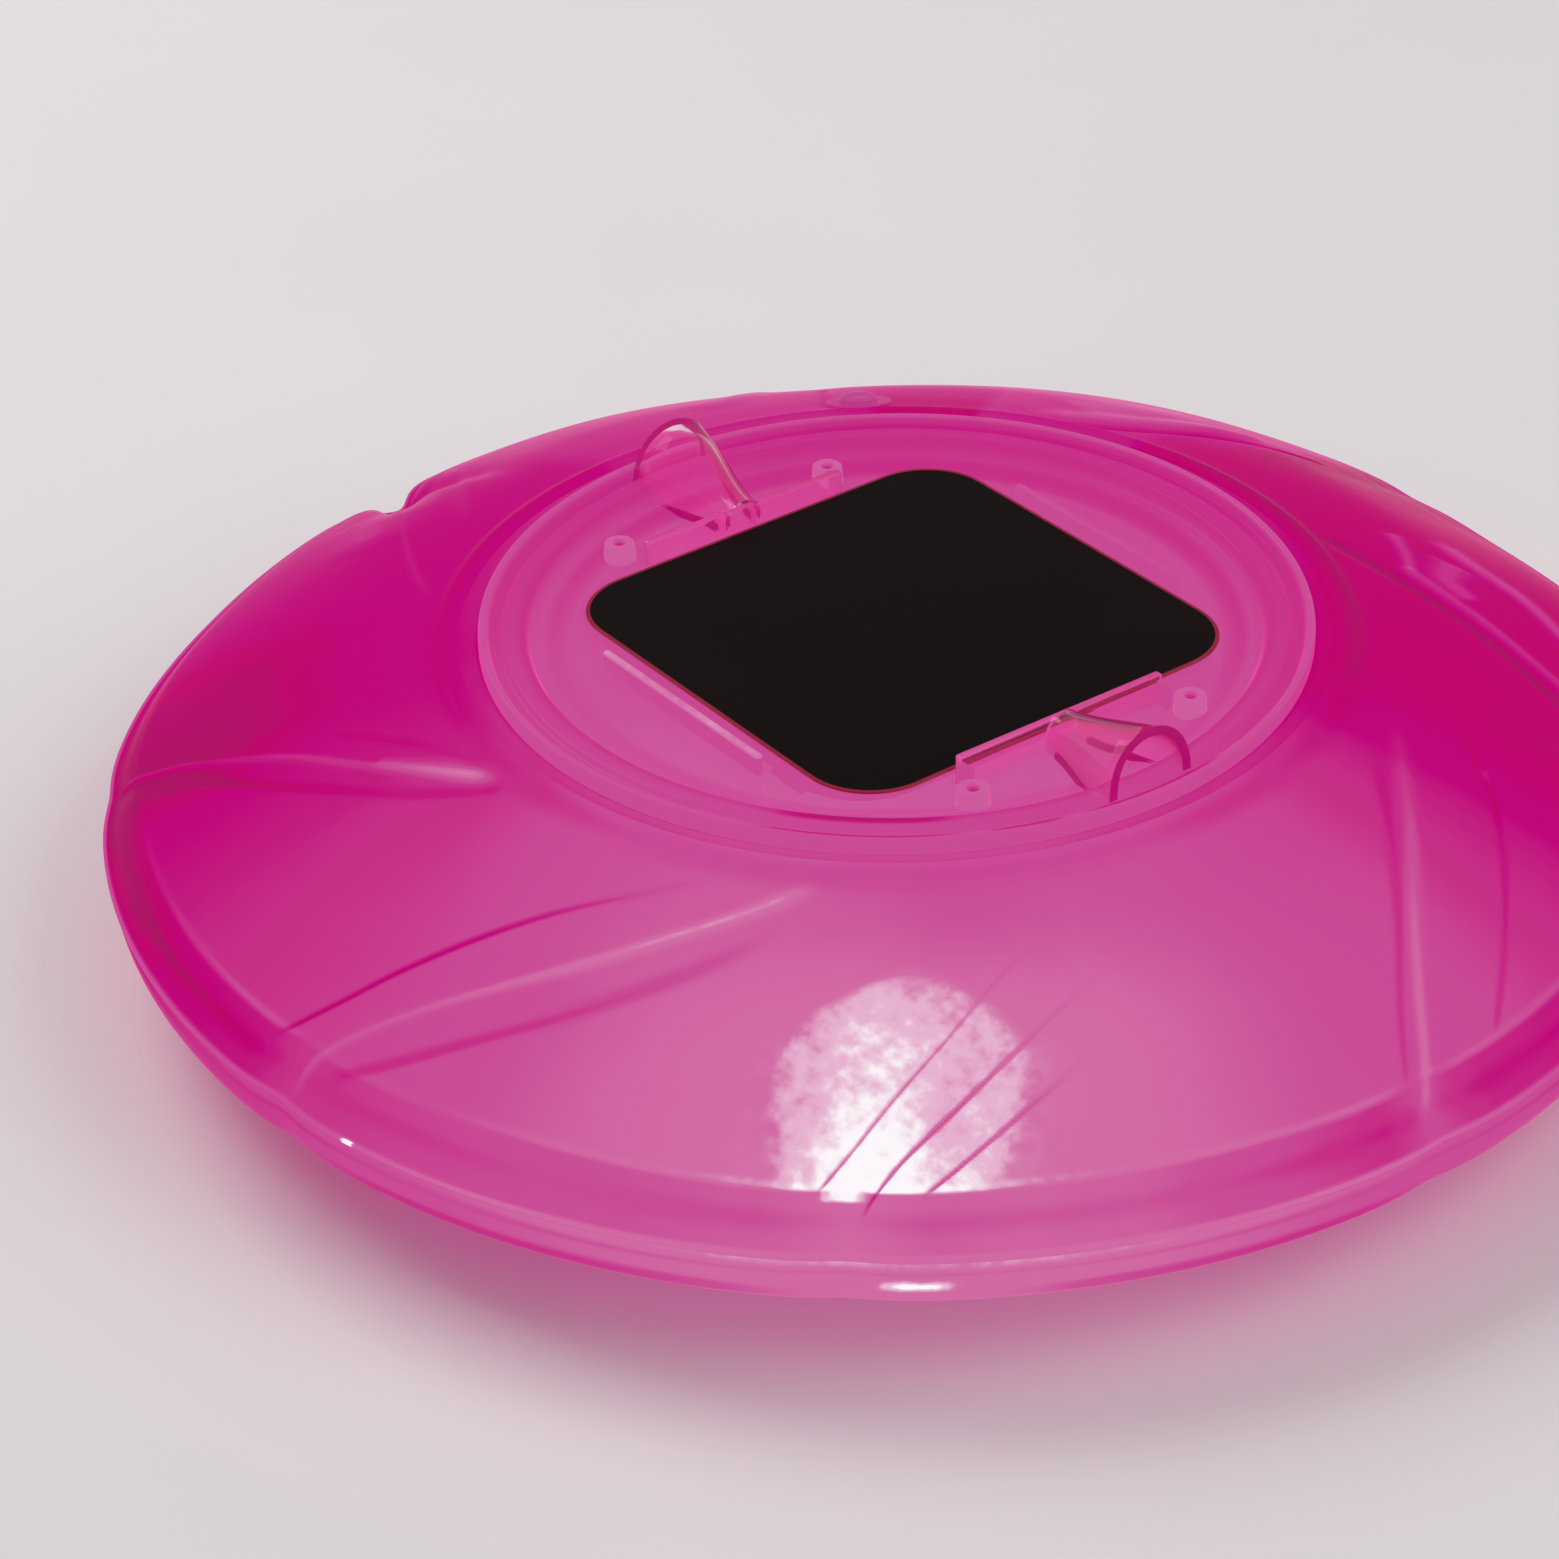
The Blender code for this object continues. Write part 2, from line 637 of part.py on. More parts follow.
def make_board():
    bore_r = 10.5 * MM
    board = turned(
        "led_board",
        lifted([
            (BOARD_R, BOARD_Z + BOARD_THICK),
            (BOARD_R, BOARD_Z),
            (bore_r, BOARD_Z),
            (bore_r, BOARD_Z + BOARD_THICK),
        ]),
        BOARD_GREEN,
        steps=36,
    )  # fmt: skip
    for at in standoff_places():
        hole = as_cutter(upright("board_hole", at, 1.2 * MM, -24 * MM, -12 * MM, sides=8))
        boolean(board, hole, "DIFFERENCE")
    top = BOARD_Z + BOARD_THICK + GAP
    for index in range(6):
        make_led(f"led_{index + 1}", math.radians(60 * index), top)
    chip_at = (-20 * MM, 9 * MM, SEAM_Z + top + 0.8 * MM)
    box("control_chip", chip_at, (5 * MM, 6 * MM, 1.6 * MM), CHIP_BLACK)
    upright("charge_inductor", (20 * MM, 8 * MM), 3 * MM, top, top + 4 * MM, CHIP_BLACK, 16)
    upright("storage_capacitor", (12 * MM, -20 * MM), 2.5 * MM, top, top + 7 * MM, WHITE, 16)


def make_led(name, angle, low):
    """Domed LED near the board's edge, leaning outwards."""
    dome = in_mm((0, 6.4), (1.4, 5.9), (2.3, 4.8), (2.5, 3.4), (2.5, 0.8), (2.9, 0.8), (2.9, 0), (0, 0))
    led = turned(name, dome, LED_CLEAR, closed=False, steps=12)
    lean = math.radians(25)
    seat = Vector((30.5 * MM, 0, SEAM_Z + low + 2.9 * MM * math.sin(lean)))
    led.matrix_world = (
        Matrix.Rotation(angle, 4, "Z") @ Matrix.Translation(seat) @ Matrix.Rotation(lean, 4, "Y")
    )


def make_switch():
    """Push button through the base, and the tact switch that it works."""
    x, y = BUTTON_AT
    cap = in_mm(
        (0, -28), (2, -28), (6.2, -28.4), (6.2, -29.6), (4.6, -29.6), (4.6, -30.7),
        (4.0, -31.3), (0, -31.3),
    )  # fmt: skip
    button = turned("power_button", lifted(cap), SOFT_CLEAR, closed=False, steps=20)
    button.location = (x, y, 0)
    body_low, body_high = BOARD_Z - 4.3 * MM, BOARD_Z - GAP
    body = box(
        "tact_switch",
        (x, y, SEAM_Z + (body_low + body_high) / 2),
        (6 * MM, 6 * MM, body_high - body_low),
        CHIP_BLACK,
    )
    well_low, well_high = body_low - 2 * MM, body_low + 2.6 * MM
    well = as_cutter(upright("plunger_well", BUTTON_AT, 1.9 * MM, well_low, well_high, sides=16))
    boolean(body, well, "DIFFERENCE")
    upright("switch_plunger", BUTTON_AT, 1.6 * MM, -27.7 * MM, body_low + 1.0 * MM, WHITE, 16)


def make_battery():
    """AAA cell upright in the tube, spring above it, contacts and screw-in cap below."""
    cell = in_mm(
        (0, 20.1), (4.9, 20.1), (5.25, 19.7), (5.25, -23.6), (4.9, -24), (1.9, -24),
        (1.9, -24.8), (0, -24.8),
    )  # fmt: skip
    turned("battery_cell", lifted(cell), CELL_GREEN, closed=False, steps=20)
    turns, per_turn, low, high = 3, 10, 20.9 * MM, 23.2 * MM
    count = turns * per_turn
    coil = []
    for i in range(count + 1):
        a = 2 * math.pi * i / per_turn
        radius = (4.8 - 2.2 * i / count) * MM
        z = SEAM_Z + high - (high - low) * i / count
        coil.append((radius * math.cos(a), radius * math.sin(a), z))
    wire("contact_spring", coil, 0.3 * MM, STEEL, sides=0)
    disc = in_mm((0, -25.1), (5.4, -25.1), (5.4, -25.5), (0, -25.5))
    turned("contact_disc", lifted(disc), BRASS, closed=False, steps=20)

    cap_section = in_mm(
        (0, -25.8), (5.8, -25.8), (5.8, -29.5), (12.6, -29.5), (12.7, -31.2), (12.2, -31.7), (0, -31.7)
    )
    cap = turned("battery_cap", lifted(cap_section), WHITE, closed=False, steps=32)
    slot = as_cutter(box("coin_slot", (0, 0, 0), (17 * MM, 2.2 * MM, 3 * MM), None))
    boolean(cap, slot, "DIFFERENCE")
    seal_route = ring_points(9.4 * MM, SEAM_Z - 28.55 * MM, 24)
    wire("cap_seal", seal_route, 0.7 * MM, RUBBER, cyclic=True)


def ring_points(radius, z, count):
    return [
        (radius * math.cos(2 * math.pi * i / count), radius * math.sin(2 * math.pi * i / count), z)
        for i in range(count)
    ]


def make_wires():
    """The panel's leads down to the board, and the battery's leads from the tube."""
    top = BOARD_Z + BOARD_THICK + GAP
    for name, at, land, mat in (
        ("panel_lead_red", panel_lead_holes()[0], (22, -24), WIRE_RED),
        ("panel_lead_black", panel_lead_holes()[1], (27, -20), WIRE_BLACK),
    ):
        x, y = at[0] / MM, at[1] / MM
        route = [
            (x, y, 33.0),
            (x, y, 29),
            (x - 1, y + 1, 20),
            ((x + land[0]) / 2 + 3, (y + land[1]) / 2 - 4, 2),
            (land[0], land[1], -8),
            (land[0], land[1], top / MM + 0.8),
        ]
        wire(name, smooth_route([lift_mm(p) for p in route], 3), 0.6 * MM, mat)


def lift_mm(point):
    x, y, z = point
    return (x * MM, y * MM, SEAM_Z + z * MM)


def build():
    make_float()
    make_collars()
    make_valve()
    make_cover()
    make_panel()
    make_bowl()
    make_fasteners()
    make_board()
    make_switch()
    make_battery()
    make_wires()
    for obj in PARTS.objects:
        shade(obj)


build()
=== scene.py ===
"""Looks of the floating solar pool light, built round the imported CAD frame.

Lengths are metres, or millimetres where a comment says so, and every height in mm is above
the float's welded seam. Angles round the light are degrees anticlockwise from +X, seen from
above. The float's films, the collar, the lamp's cover and the panel's face are remade here
in fine detail; the other CAD parts stay and get better materials.

Light shining through the PVC is a "glow" number on each point: 0 is deep magenta, 0.8 pink
and 1.3 white. The film's own gloss is almost off, so the highlights and the dark reflections
on it are painted as glow too. The rows of glow by angle or radius were taken from the photo.
"""

import json
import math

import bmesh
import bpy
import numpy as np
from mathutils import Matrix, Vector


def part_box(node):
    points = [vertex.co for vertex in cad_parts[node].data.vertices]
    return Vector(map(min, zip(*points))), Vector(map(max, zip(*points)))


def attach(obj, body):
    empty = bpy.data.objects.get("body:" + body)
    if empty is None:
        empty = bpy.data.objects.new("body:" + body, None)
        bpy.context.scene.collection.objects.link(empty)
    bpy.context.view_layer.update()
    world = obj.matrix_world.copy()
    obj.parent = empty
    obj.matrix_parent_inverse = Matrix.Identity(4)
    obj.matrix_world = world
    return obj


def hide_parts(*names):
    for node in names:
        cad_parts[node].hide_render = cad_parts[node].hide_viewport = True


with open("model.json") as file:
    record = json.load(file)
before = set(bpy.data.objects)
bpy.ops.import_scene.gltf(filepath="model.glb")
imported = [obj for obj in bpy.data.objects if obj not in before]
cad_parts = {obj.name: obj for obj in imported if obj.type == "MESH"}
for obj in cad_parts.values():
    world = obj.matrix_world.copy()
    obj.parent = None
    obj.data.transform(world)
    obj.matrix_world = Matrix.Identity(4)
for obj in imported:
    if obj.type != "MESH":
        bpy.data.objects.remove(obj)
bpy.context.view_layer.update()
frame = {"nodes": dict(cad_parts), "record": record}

MM = 0.001
NODES = frame["nodes"]

# Places read from the frame
UPPER_LOW, UPPER_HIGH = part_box("float_upper_film")
LOWER_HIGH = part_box("float_lower_film")[1]
BOARD_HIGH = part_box("panel_board")[1]
CLEAR_LOW, CLEAR_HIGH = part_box("panel_clear_layer")
SEAM_Z = (UPPER_LOW.z + LOWER_HIGH.z) / 2
RIM_R = UPPER_HIGH.y

# The camera stands where the photograph was taken from
VIEW_DISTANCE = 5.219 * RIM_R
VIEW_AROUND = 52.9
VIEW_ELEVATION = 32.54
VIEW_AIM = (-0.3, 1.63, -0.45)  # degrees of tilt, pan and roll away from the rim's centre
LENS_MM = 95.1

# Where the rim is pulled in: angle, how far (mm), half width (degrees)
PUCKERS = [
    (0, 0.9, 2.6), (44, 0.9, 3.0), (95, 1.0, 2.6), (151, 1.0, 2.4), (189.8, 7.6, 2.5),
    (238, 0.8, 3.0), (278, 1.2, 2.2), (319.5, 0.8, 2.2), (86, 4.6, 15), (212, 2.9, 19),
]  # fmt: skip
LOBE_ENDS = [0, 44, 95, 151, 189.8, 238, 278, 319.5]

# Folds in the upper film. Each has a route of (angle, radius in mm), then its width and
# height in mm, how much brighter it glows as a painted highlight (where negative, how much
# darker as painted shade), and the share of its length after which it fades.
FOLDS = [
    # from the pucker at 238 degrees
    (
        [(238, 173), (240.5, 159), (244, 147), (249, 133), (255, 122), (262, 111), (272, 100.5)],
        1.3, 0.7, 0.30, 0.9,
    ),
    (
        [(239, 171), (243, 156), (250, 139)],
        5.0, -0.6, -0.10, 0.6,
    ),
    (
        [(244, 154), (250, 141), (257, 127.5), (263, 117), (268, 108), (272, 101)],
        1.5, -0.5, -0.20, 0.9,
    ),
    (
        [(248, 123), (252, 115.5), (257, 108), (264, 102.5), (270, 100)],
        1.3, -0.3, -0.10, 0.7,
    ),
    (
        [(256, 118), (262, 109), (270, 101.5)],
        2.6, 0.4, 0.20, 0.8,
    ),
    # from the pucker at 278 degrees
    (
        [(275.5, 167), (278, 155), (281, 143), (285, 130.5), (290, 119.5), (296, 110.5), (304, 102)],
        0.7, -0.35, -0.62, 0.35,
    ),
    (
        [
            (279, 172), (280.8, 162), (284.5, 151), (289.5, 140),
            (295.5, 129), (302, 118), (308, 109.5), (315, 101),
        ],
        1.4, 0.6, 0.16, 0.9,
    ),
    (
        [(281.5, 169), (285, 162), (290.5, 151), (296, 141), (302.5, 129), (308, 119), (312, 110)],
        1.6, -0.5, -0.20, 0.5,
    ),
    # through the bright spot
    (
        [(317.5, 166.5), (320, 157), (323, 147), (327, 136), (332, 124), (338, 114)],
        0.42, -0.4, -0.40, 0.05,
    ),
    (
        [(320.6, 169), (323, 160.5), (327, 151), (331, 142.5), (336, 133.5), (343, 124)],
        0.48, -0.5, -0.52, 0.1,
    ),
    (
        [(324.5, 166.5), (327, 161.5), (331, 154), (335, 147.5), (341, 139)],
        0.48, -0.5, -0.45, 0.1,
    ),
    # from the pucker at 0 degrees
    (
        [(359, 171), (361, 165), (365, 152), (371, 138), (378, 127), (385, 118), (396, 109)],
        1.5, 0.7, 0.18, 0.85,
    ),
    (
        [(359, 166), (363, 152), (369, 138), (376, 125), (382, 116), (388, 110)],
        1.2, -0.35, -0.15, 0.8,
    ),
    (
        [(368, 165), (373, 156.5), (378, 149), (384, 141), (390, 133), (398, 122)],
        0.8, -0.4, -0.18, 0.8,
    ),
    (
        [(391, 132), (392.4, 130)],
        0.9, 0.2, 0.30, 0.7,
    ),
    # from the pucker at 44 degrees, with glossy dents painted beyond it
    (
        [(47, 158), (51, 146), (55, 137), (60, 128), (65, 120.5), (69, 115.5)],
        1.9, 0.8, 0.42, 0.85,
    ),
    (
        [(46, 152), (50, 141), (58, 126), (66, 113), (76, 101.5)],
        1.8, -0.6, -0.16, 0.9,
    ),
    (
        [(60, 151), (66, 146), (72, 138), (77, 134)],
        3.0, 0.6, 0.56, 0.8,
    ),
    (
        [(63, 130), (67, 127), (71, 133)],
        4.0, 0.5, 0.50, 0.9,
    ),
    (
        [(67, 118.5), (72, 121.5), (77, 123.5)],
        2.0, 0.4, 0.48, 0.9,
    ),
    # from the pucker at 95 degrees
    (
        [(98, 146), (100, 140), (103, 130), (107, 119), (111, 109), (117, 100.5), (127, 96)],
        1.2, -0.8, -0.28, 0.95,
    ),
    (
        [(104, 142), (108, 130), (112, 118), (118, 108), (125, 101)],
        5.0, 0.8, 0.22, 0.8,
    ),
    (
        [(112, 143), (117, 129), (123, 115)],
        10.0, 0.4, 0.20, 0.8,
    ),
    # beside the valve
    (
        [(150.5, 130), (151.2, 118), (151.5, 101)],
        1.3, -0.3, -0.24, 0.9,
    ),
    (
        [(156, 150), (160, 135), (166, 120)],
        5.0, 0.5, 0.14, 0.7,
    ),
    # the deep fold at the notch
    (
        [(189.8, 166), (192.5, 157), (196, 147), (200.5, 134)],
        5.5, -5.0, -0.10, 0.25,
    ),
    (
        [(200, 152), (204, 141), (210, 131)],
        6.5, 0.6, 0.28, 0.7,
    ),
    (
        [(196, 150), (202, 134), (210, 121), (219, 110), (226, 102)],
        0.8, 0.3, 0.12, 0.8,
    ),
    (
        [(186, 158), (190, 140), (198, 122), (206, 110)],
        1.6, 0.4, 0.12, 0.8,
    ),
]  # fmt: skip

# How strongly the film glows, mostly as a program measured it on the photo: angle, near the
# collar, near the rim
GLOW = [
    (0, 0.76, 0.81), (10, 0.71, 0.74), (20, 0.57, 0.57), (25, 0.46, 0.46), (28, 0.26, 0.26),
    (40, 0.15, 0.08), (60, 0.13, 0.13), (80, 0.12, 0.12), (95, 0.11, 0.04), (100, 0.12, 0.06),
    (102, 0.14, 0.50), (106, 0.18, 0.58), (109, 0.46, 0.60), (130.5, 0.52, 0.58),
    (132, 0.15, 0.52), (144.5, 0.15, 0.40), (146.5, 0.42, 0.46), (152, 0.55, 0.62),
    (168, 0.56, 0.60), (184, 0.48, 0.48), (188, 0.25, 0.28), (200, 0.24, 0.26), (220, 0.26, 0.27),
    (230, 0.28, 0.06), (242, 0.28, 0.04), (248, 0.28, 0.22), (256, 0.38, 0.34), (262, 0.54, 0.50),
    (270, 0.61, 0.62), (280, 0.75, 0.70), (290, 0.84, 0.80), (300, 0.87, 0.91), (312, 0.88, 1.00),
    (330, 0.83, 1.02), (340, 0.84, 0.98), (350, 0.84, 0.88), (360, 0.76, 0.81),
]  # fmt: skip
# How strongly the collar glows, set from the photo: angle, glow
COLLAR_GLOW = [
    (0, 0.65), (20, 0.50), (34, 0.18), (62, 0.18), (80, 0.38), (100, 0.38), (120, 0.55),
    (160, 0.62), (200, 0.58), (220, 0.46), (240, 0.32), (260, 0.56), (280, 0.68), (300, 0.74),
    (340, 0.74), (360, 0.65),
]  # fmt: skip
# The steep band between the shoulder and the seam, painted darker as shade, set from the
# photo: angle, how much darker it glows
BAND = [
    (0, 0.04), (5, 0.34), (14, 0.34), (30, 0.2), (44, 0.02), (60, 0), (235, 0), (243, 0.10),
    (256, 0.34), (268, 0.42), (274, 0.40), (278, 0.04), (283, 0.10), (300, 0.12), (314, 0.15),
    (319.5, 0.06), (325, 0.14), (338, 0.10), (350, 0.2), (356, 0.3), (360, 0.04),
]  # fmt: skip
# CAD parts with a glow of their own. The board's glow is painted light, there only to hide its black side.
NODE_GLOW = {"valve_body": 0.68, "valve_plug": 0.76, "panel_board": 0.76}
HOT_SPOT_ANGLE = 322.9
SHOULDER_R = 166.3  # mm, where the film turns down to the seam at the front
GLINT_ANGLE = 285  # where a small highlight is painted on the seam bead
LOWER_GLINT_ANGLE = 324  # where a highlight is painted under the rim
SHADE_STREAKS = ((299, 15), (345, 13))  # dark streaks of painted shade under the rim: middle, half width

GLOW_COLOURS = [
    (0.00, "AC1263"), (0.12, "C0026C"), (0.24, "C1037A"), (0.42, "C3187F"), (0.60, "C82F87"),
    (0.80, "CB4D96"), (1.00, "D36CA5"), (1.20, "E9B6D3"), (1.36, "FFFCFE"),
]  # fmt: skip
GLOW_TOP = 1.4
PATCHY_FROM = 1.02  # the glow above which the film looks patchy, and how patchy at most
MOST_PATCHY = 0.30


# ------------------------------------------------------------------ small helpers


def smoothstep(low, high, x):
    t = np.clip((x - low) / (high - low), 0, 1)
    return t * t * (3 - 2 * t)


def turn_between(angles, middle):
    """Signed difference in degrees between angles and a middle one, from -180 to 180."""
    return (angles - middle + 180) % 360 - 180


def linear(hex_colour):
    """The linear RGB of a colour written as six hex digits."""
    found = []
    for start in (0, 2, 4):
        c = int(hex_colour[start : start + 2], 16) / 255
        found.append(c / 12.92 if c <= 0.04045 else ((c + 0.055) / 1.055) ** 2.4)
    return tuple(found)


def smooth_curve(points, per_span=10):
    """A dense Catmull-Rom curve through 2-D points."""
    pts = np.array(points, float)
    ends = np.vstack([2 * pts[0] - pts[1], pts, 2 * pts[-1] - pts[-2]])
    found = []
    for a, b, c, d in zip(ends, ends[1:], ends[2:], ends[3:]):
        for t in np.arange(per_span) / per_span:
            cubic = (3 * b - a - 3 * c + d) * t**3 + (2 * a - 5 * b + 4 * c - d) * t**2
            found.append(0.5 * (2 * b + (c - a) * t + cubic))
    found.append(pts[-1])
    return np.array(found)


def rounded(points, radius, steps=4):
    """The corners of an open outline replaced by short arcs no larger than radius."""
    pts = [Vector(p) for p in points]
    found = [pts[0]]
    for before, corner, after in zip(pts, pts[1:], pts[2:]):
        arm = min(radius, (before - corner).length * 0.45, (after - corner).length * 0.45)
        start = corner + (before - corner).normalized() * arm
        end = corner + (after - corner).normalized() * arm
        for step in range(steps + 1):
            t = step / steps
            found.append(start.lerp(corner, t).lerp(corner.lerp(end, t), t))
    found.append(pts[-1])
    return found


def add_mesh(name, points, faces, mat=None):
    mesh = bpy.data.meshes.new(name)
    mesh.from_pydata([tuple(p) for p in points], [], [tuple(f) for f in faces])
    mesh.update()
    obj = bpy.data.objects.new(name, mesh)
    bpy.context.scene.collection.objects.link(obj)
    if mat:
        mesh.materials.append(mat)
    mesh.shade_smooth()
    mesh.set_sharp_from_angle(angle=math.radians(40))
    return obj


def set_attribute(obj, name, values):
    attribute = obj.data.attributes.new(name, "FLOAT", "POINT")
    attribute.data.foreach_set("value", np.asarray(values, np.float32).ravel())


def ring_quads(rings, around):
    """Quads over a grid of closed rings, facing outwards for rings that run rim to centre on top."""
    j, i = np.meshgrid(np.arange(rings - 1), np.arange(around), indexing="ij")
    k = (i + 1) % around
    quads = np.stack([j * around + i, j * around + k, (j + 1) * around + k, (j + 1) * around + i], -1)
    return quads.reshape(-1, 4)


def polar_shell(name, outer, thickness, mat, inner_every=6):
    """A closed film: outer is [rings, around, 3], and the inner side has fewer rings."""
    rings, around, _ = outer.shape
    along = np.gradient(outer, axis=0)
    across = np.roll(outer, -1, axis=1) - np.roll(outer, 1, axis=1)
    normal = np.cross(across, along)
    normal /= np.linalg.norm(normal, axis=-1, keepdims=True)
    inner = outer - normal * np.asarray(thickness).reshape(-1, 1, 1)
    kept = sorted({*range(0, rings, inner_every), rings - 1})
    count = rings * around
    top = ring_quads(rings, around)
    under = ring_quads(len(kept), around)[:, ::-1] + count
    first = np.arange(around)
    after = (first + 1) % around
    start_edge = np.stack([after, first, first + count, after + count], -1)
    last = (rings - 1) * around
    inner_last = count + (len(kept) - 1) * around
    end_edge = np.stack([last + first, last + after, inner_last + after, inner_last + first], -1)
    points = np.vstack([outer.reshape(-1, 3), inner[kept].reshape(-1, 3)])
    faces = np.vstack([top, under, start_edge, end_edge])
    return add_mesh(name, points, faces.tolist(), mat), kept


def set_shell_glow(obj, glow, kept):
    set_attribute(obj, "glow", np.concatenate([glow.ravel(), glow[kept].ravel()]))


def turned(name, outline, mat, steps=240):
    """An outline of (radius, height) in mm turned about Z; heights are above the seam.

    The outline starts and ends on the axis, or is closed, and runs down its outer side.
    """
    pts = [(r * MM, z * MM + SEAM_Z) for r, z in outline]
    on_axis = pts[0][0] < 1e-6 and pts[-1][0] < 1e-6
    if not on_axis:
        pts.append(pts[0])
    angles = np.radians(np.arange(steps) * 360 / steps)
    body = pts[1:-1] if on_axis else pts[:-1]
    points = [(r * c, r * s, z) for r, z in body for c, s in zip(np.cos(angles), np.sin(angles))]
    faces = (ring_quads(len(body), steps)[:, ::-1]).tolist()
    if on_axis:
        top_index = len(points)
        points += [(0, 0, pts[0][1]), (0, 0, pts[-1][1])]
        base = (len(body) - 1) * steps
        for i in range(steps):
            k = (i + 1) % steps
            faces.append((top_index, i, k))
            faces.append((top_index + 1, base + k, base + i))
    else:
        base = (len(body) - 1) * steps
        for i in range(steps):
            k = (i + 1) % steps
            faces.append((i, k, base + k, base + i))
    return add_mesh(name, points, faces, mat)


def boolean(obj, other, operation):
    """Applies an exact Boolean with another object, which then goes."""
    step = obj.modifiers.new("joined", "BOOLEAN")
    step.operation = operation
    step.object = other
    step.solver = "EXACT"
    apply_modifiers(obj)
    bpy.data.objects.remove(other, do_unlink=True)
    return obj


def apply_modifiers(obj):
    bpy.context.view_layer.update()
    graph = bpy.context.evaluated_depsgraph_get()
    mesh = bpy.data.meshes.new_from_object(obj.evaluated_get(graph))
    old = obj.data
    obj.modifiers.clear()
    obj.data = mesh
    bpy.data.meshes.remove(old)
    return obj


# ------------------------------------------------------------------ materials


def shader_of(name):
    mat = bpy.data.materials.new(name)
    mat.use_nodes = True
    tree = mat.node_tree
    return mat, tree.nodes, tree.links, tree.nodes["Principled BSDF"]


def noise_node(nodes, links, scale, detail):
    """Noise over the object's own coordinates, in metres."""
    coord = nodes.new("ShaderNodeTexCoord")
    noise = nodes.new("ShaderNodeTexNoise")
    noise.inputs["Scale"].default_value = scale
    noise.inputs["Detail"].default_value = detail
    links.new(coord.outputs["Object"], noise.inputs["Vector"])
    return noise


def math_node(nodes, links, operation, a, b):
    node = nodes.new("ShaderNodeMath")
    node.operation = operation
    for socket, value in zip(node.inputs, (a, b)):
        if isinstance(value, (int, float)):
            socket.default_value = value
        else:
            links.new(value, socket)
    return node.outputs[0]


def add_bump(nodes, links, shader, height, strength, distance):
    bump = nodes.new("ShaderNodeBump")
    bump.inputs["Strength"].default_value = strength
    bump.inputs["Distance"].default_value = distance
    links.new(height, bump.inputs["Height"])
    links.new(bump.outputs["Normal"], shader.inputs["Normal"])


def glow_ramp(nodes, links, value):
    """Turns a glow value into the lit PVC's colour, from deep magenta to white."""
    ramp = nodes.new("ShaderNodeValToRGB")
    ramp.color_ramp.interpolation = "EASE"
    stops = ramp.color_ramp.elements
    while len(stops) > 1:
        stops.remove(stops[-1])
    for index, (at, colour) in enumerate(GLOW_COLOURS):
        stop = stops[0] if index == 0 else stops.new(at / GLOW_TOP)
        stop.position = at / GLOW_TOP
        stop.color = (*linear(colour), 1)
    links.new(math_node(nodes, links, "DIVIDE", value, GLOW_TOP), ramp.inputs["Fac"])
    return ramp.outputs["Color"]


def lit_film(name, strength=0.95, roughness=0.22, mottle=0.06, specular=0.002):
    """Thin PVC lit from inside: the glow attribute drives its colour, and its painted highlights and shade.
    """
    mat, nodes, links, shader = shader_of(name)
    glow = nodes.new("ShaderNodeAttribute")
    glow.attribute_name = "glow"
    cloud = noise_node(nodes, links, 34, 5)
    fine = noise_node(nodes, links, 420, 2)
    centred = math_node(nodes, links, "SUBTRACT", cloud.outputs["Fac"], 0.5)
    past_pink = math_node(nodes, links, "SUBTRACT", glow.outputs["Fac"], PATCHY_FROM)
    over = math_node(nodes, links, "MAXIMUM", past_pink, 0.0)
    rising = math_node(nodes, links, "MULTIPLY", over, 4.0)
    patchy = math_node(nodes, links, "MINIMUM", rising, MOST_PATCHY)
    speckle = math_node(nodes, links, "SUBTRACT", noise_node(nodes, links, 330, 5).outputs["Fac"], 0.5)
    clouded = math_node(nodes, links, "MULTIPLY", centred, math_node(nodes, links, "ADD", patchy, mottle))
    speckled = math_node(nodes, links, "MULTIPLY", speckle, patchy)
    uneven = math_node(nodes, links, "ADD", clouded, speckled)
    total = math_node(nodes, links, "ADD", glow.outputs["Fac"], uneven)
    links.new(glow_ramp(nodes, links, total), shader.inputs["Emission Color"])
    shader.inputs["Emission Strength"].default_value = strength
    shader.inputs["Base Color"].default_value = (*linear("30041F"), 1)
    shader.inputs["Specular IOR Level"].default_value = specular
    rough = math_node(nodes, links, "MULTIPLY", fine.outputs["Fac"], 0.10)
    links.new(math_node(nodes, links, "ADD", rough, roughness - 0.05), shader.inputs["Roughness"])
    add_bump(nodes, links, shader, cloud.outputs["Fac"], 0.15, 0.0006)
    return mat


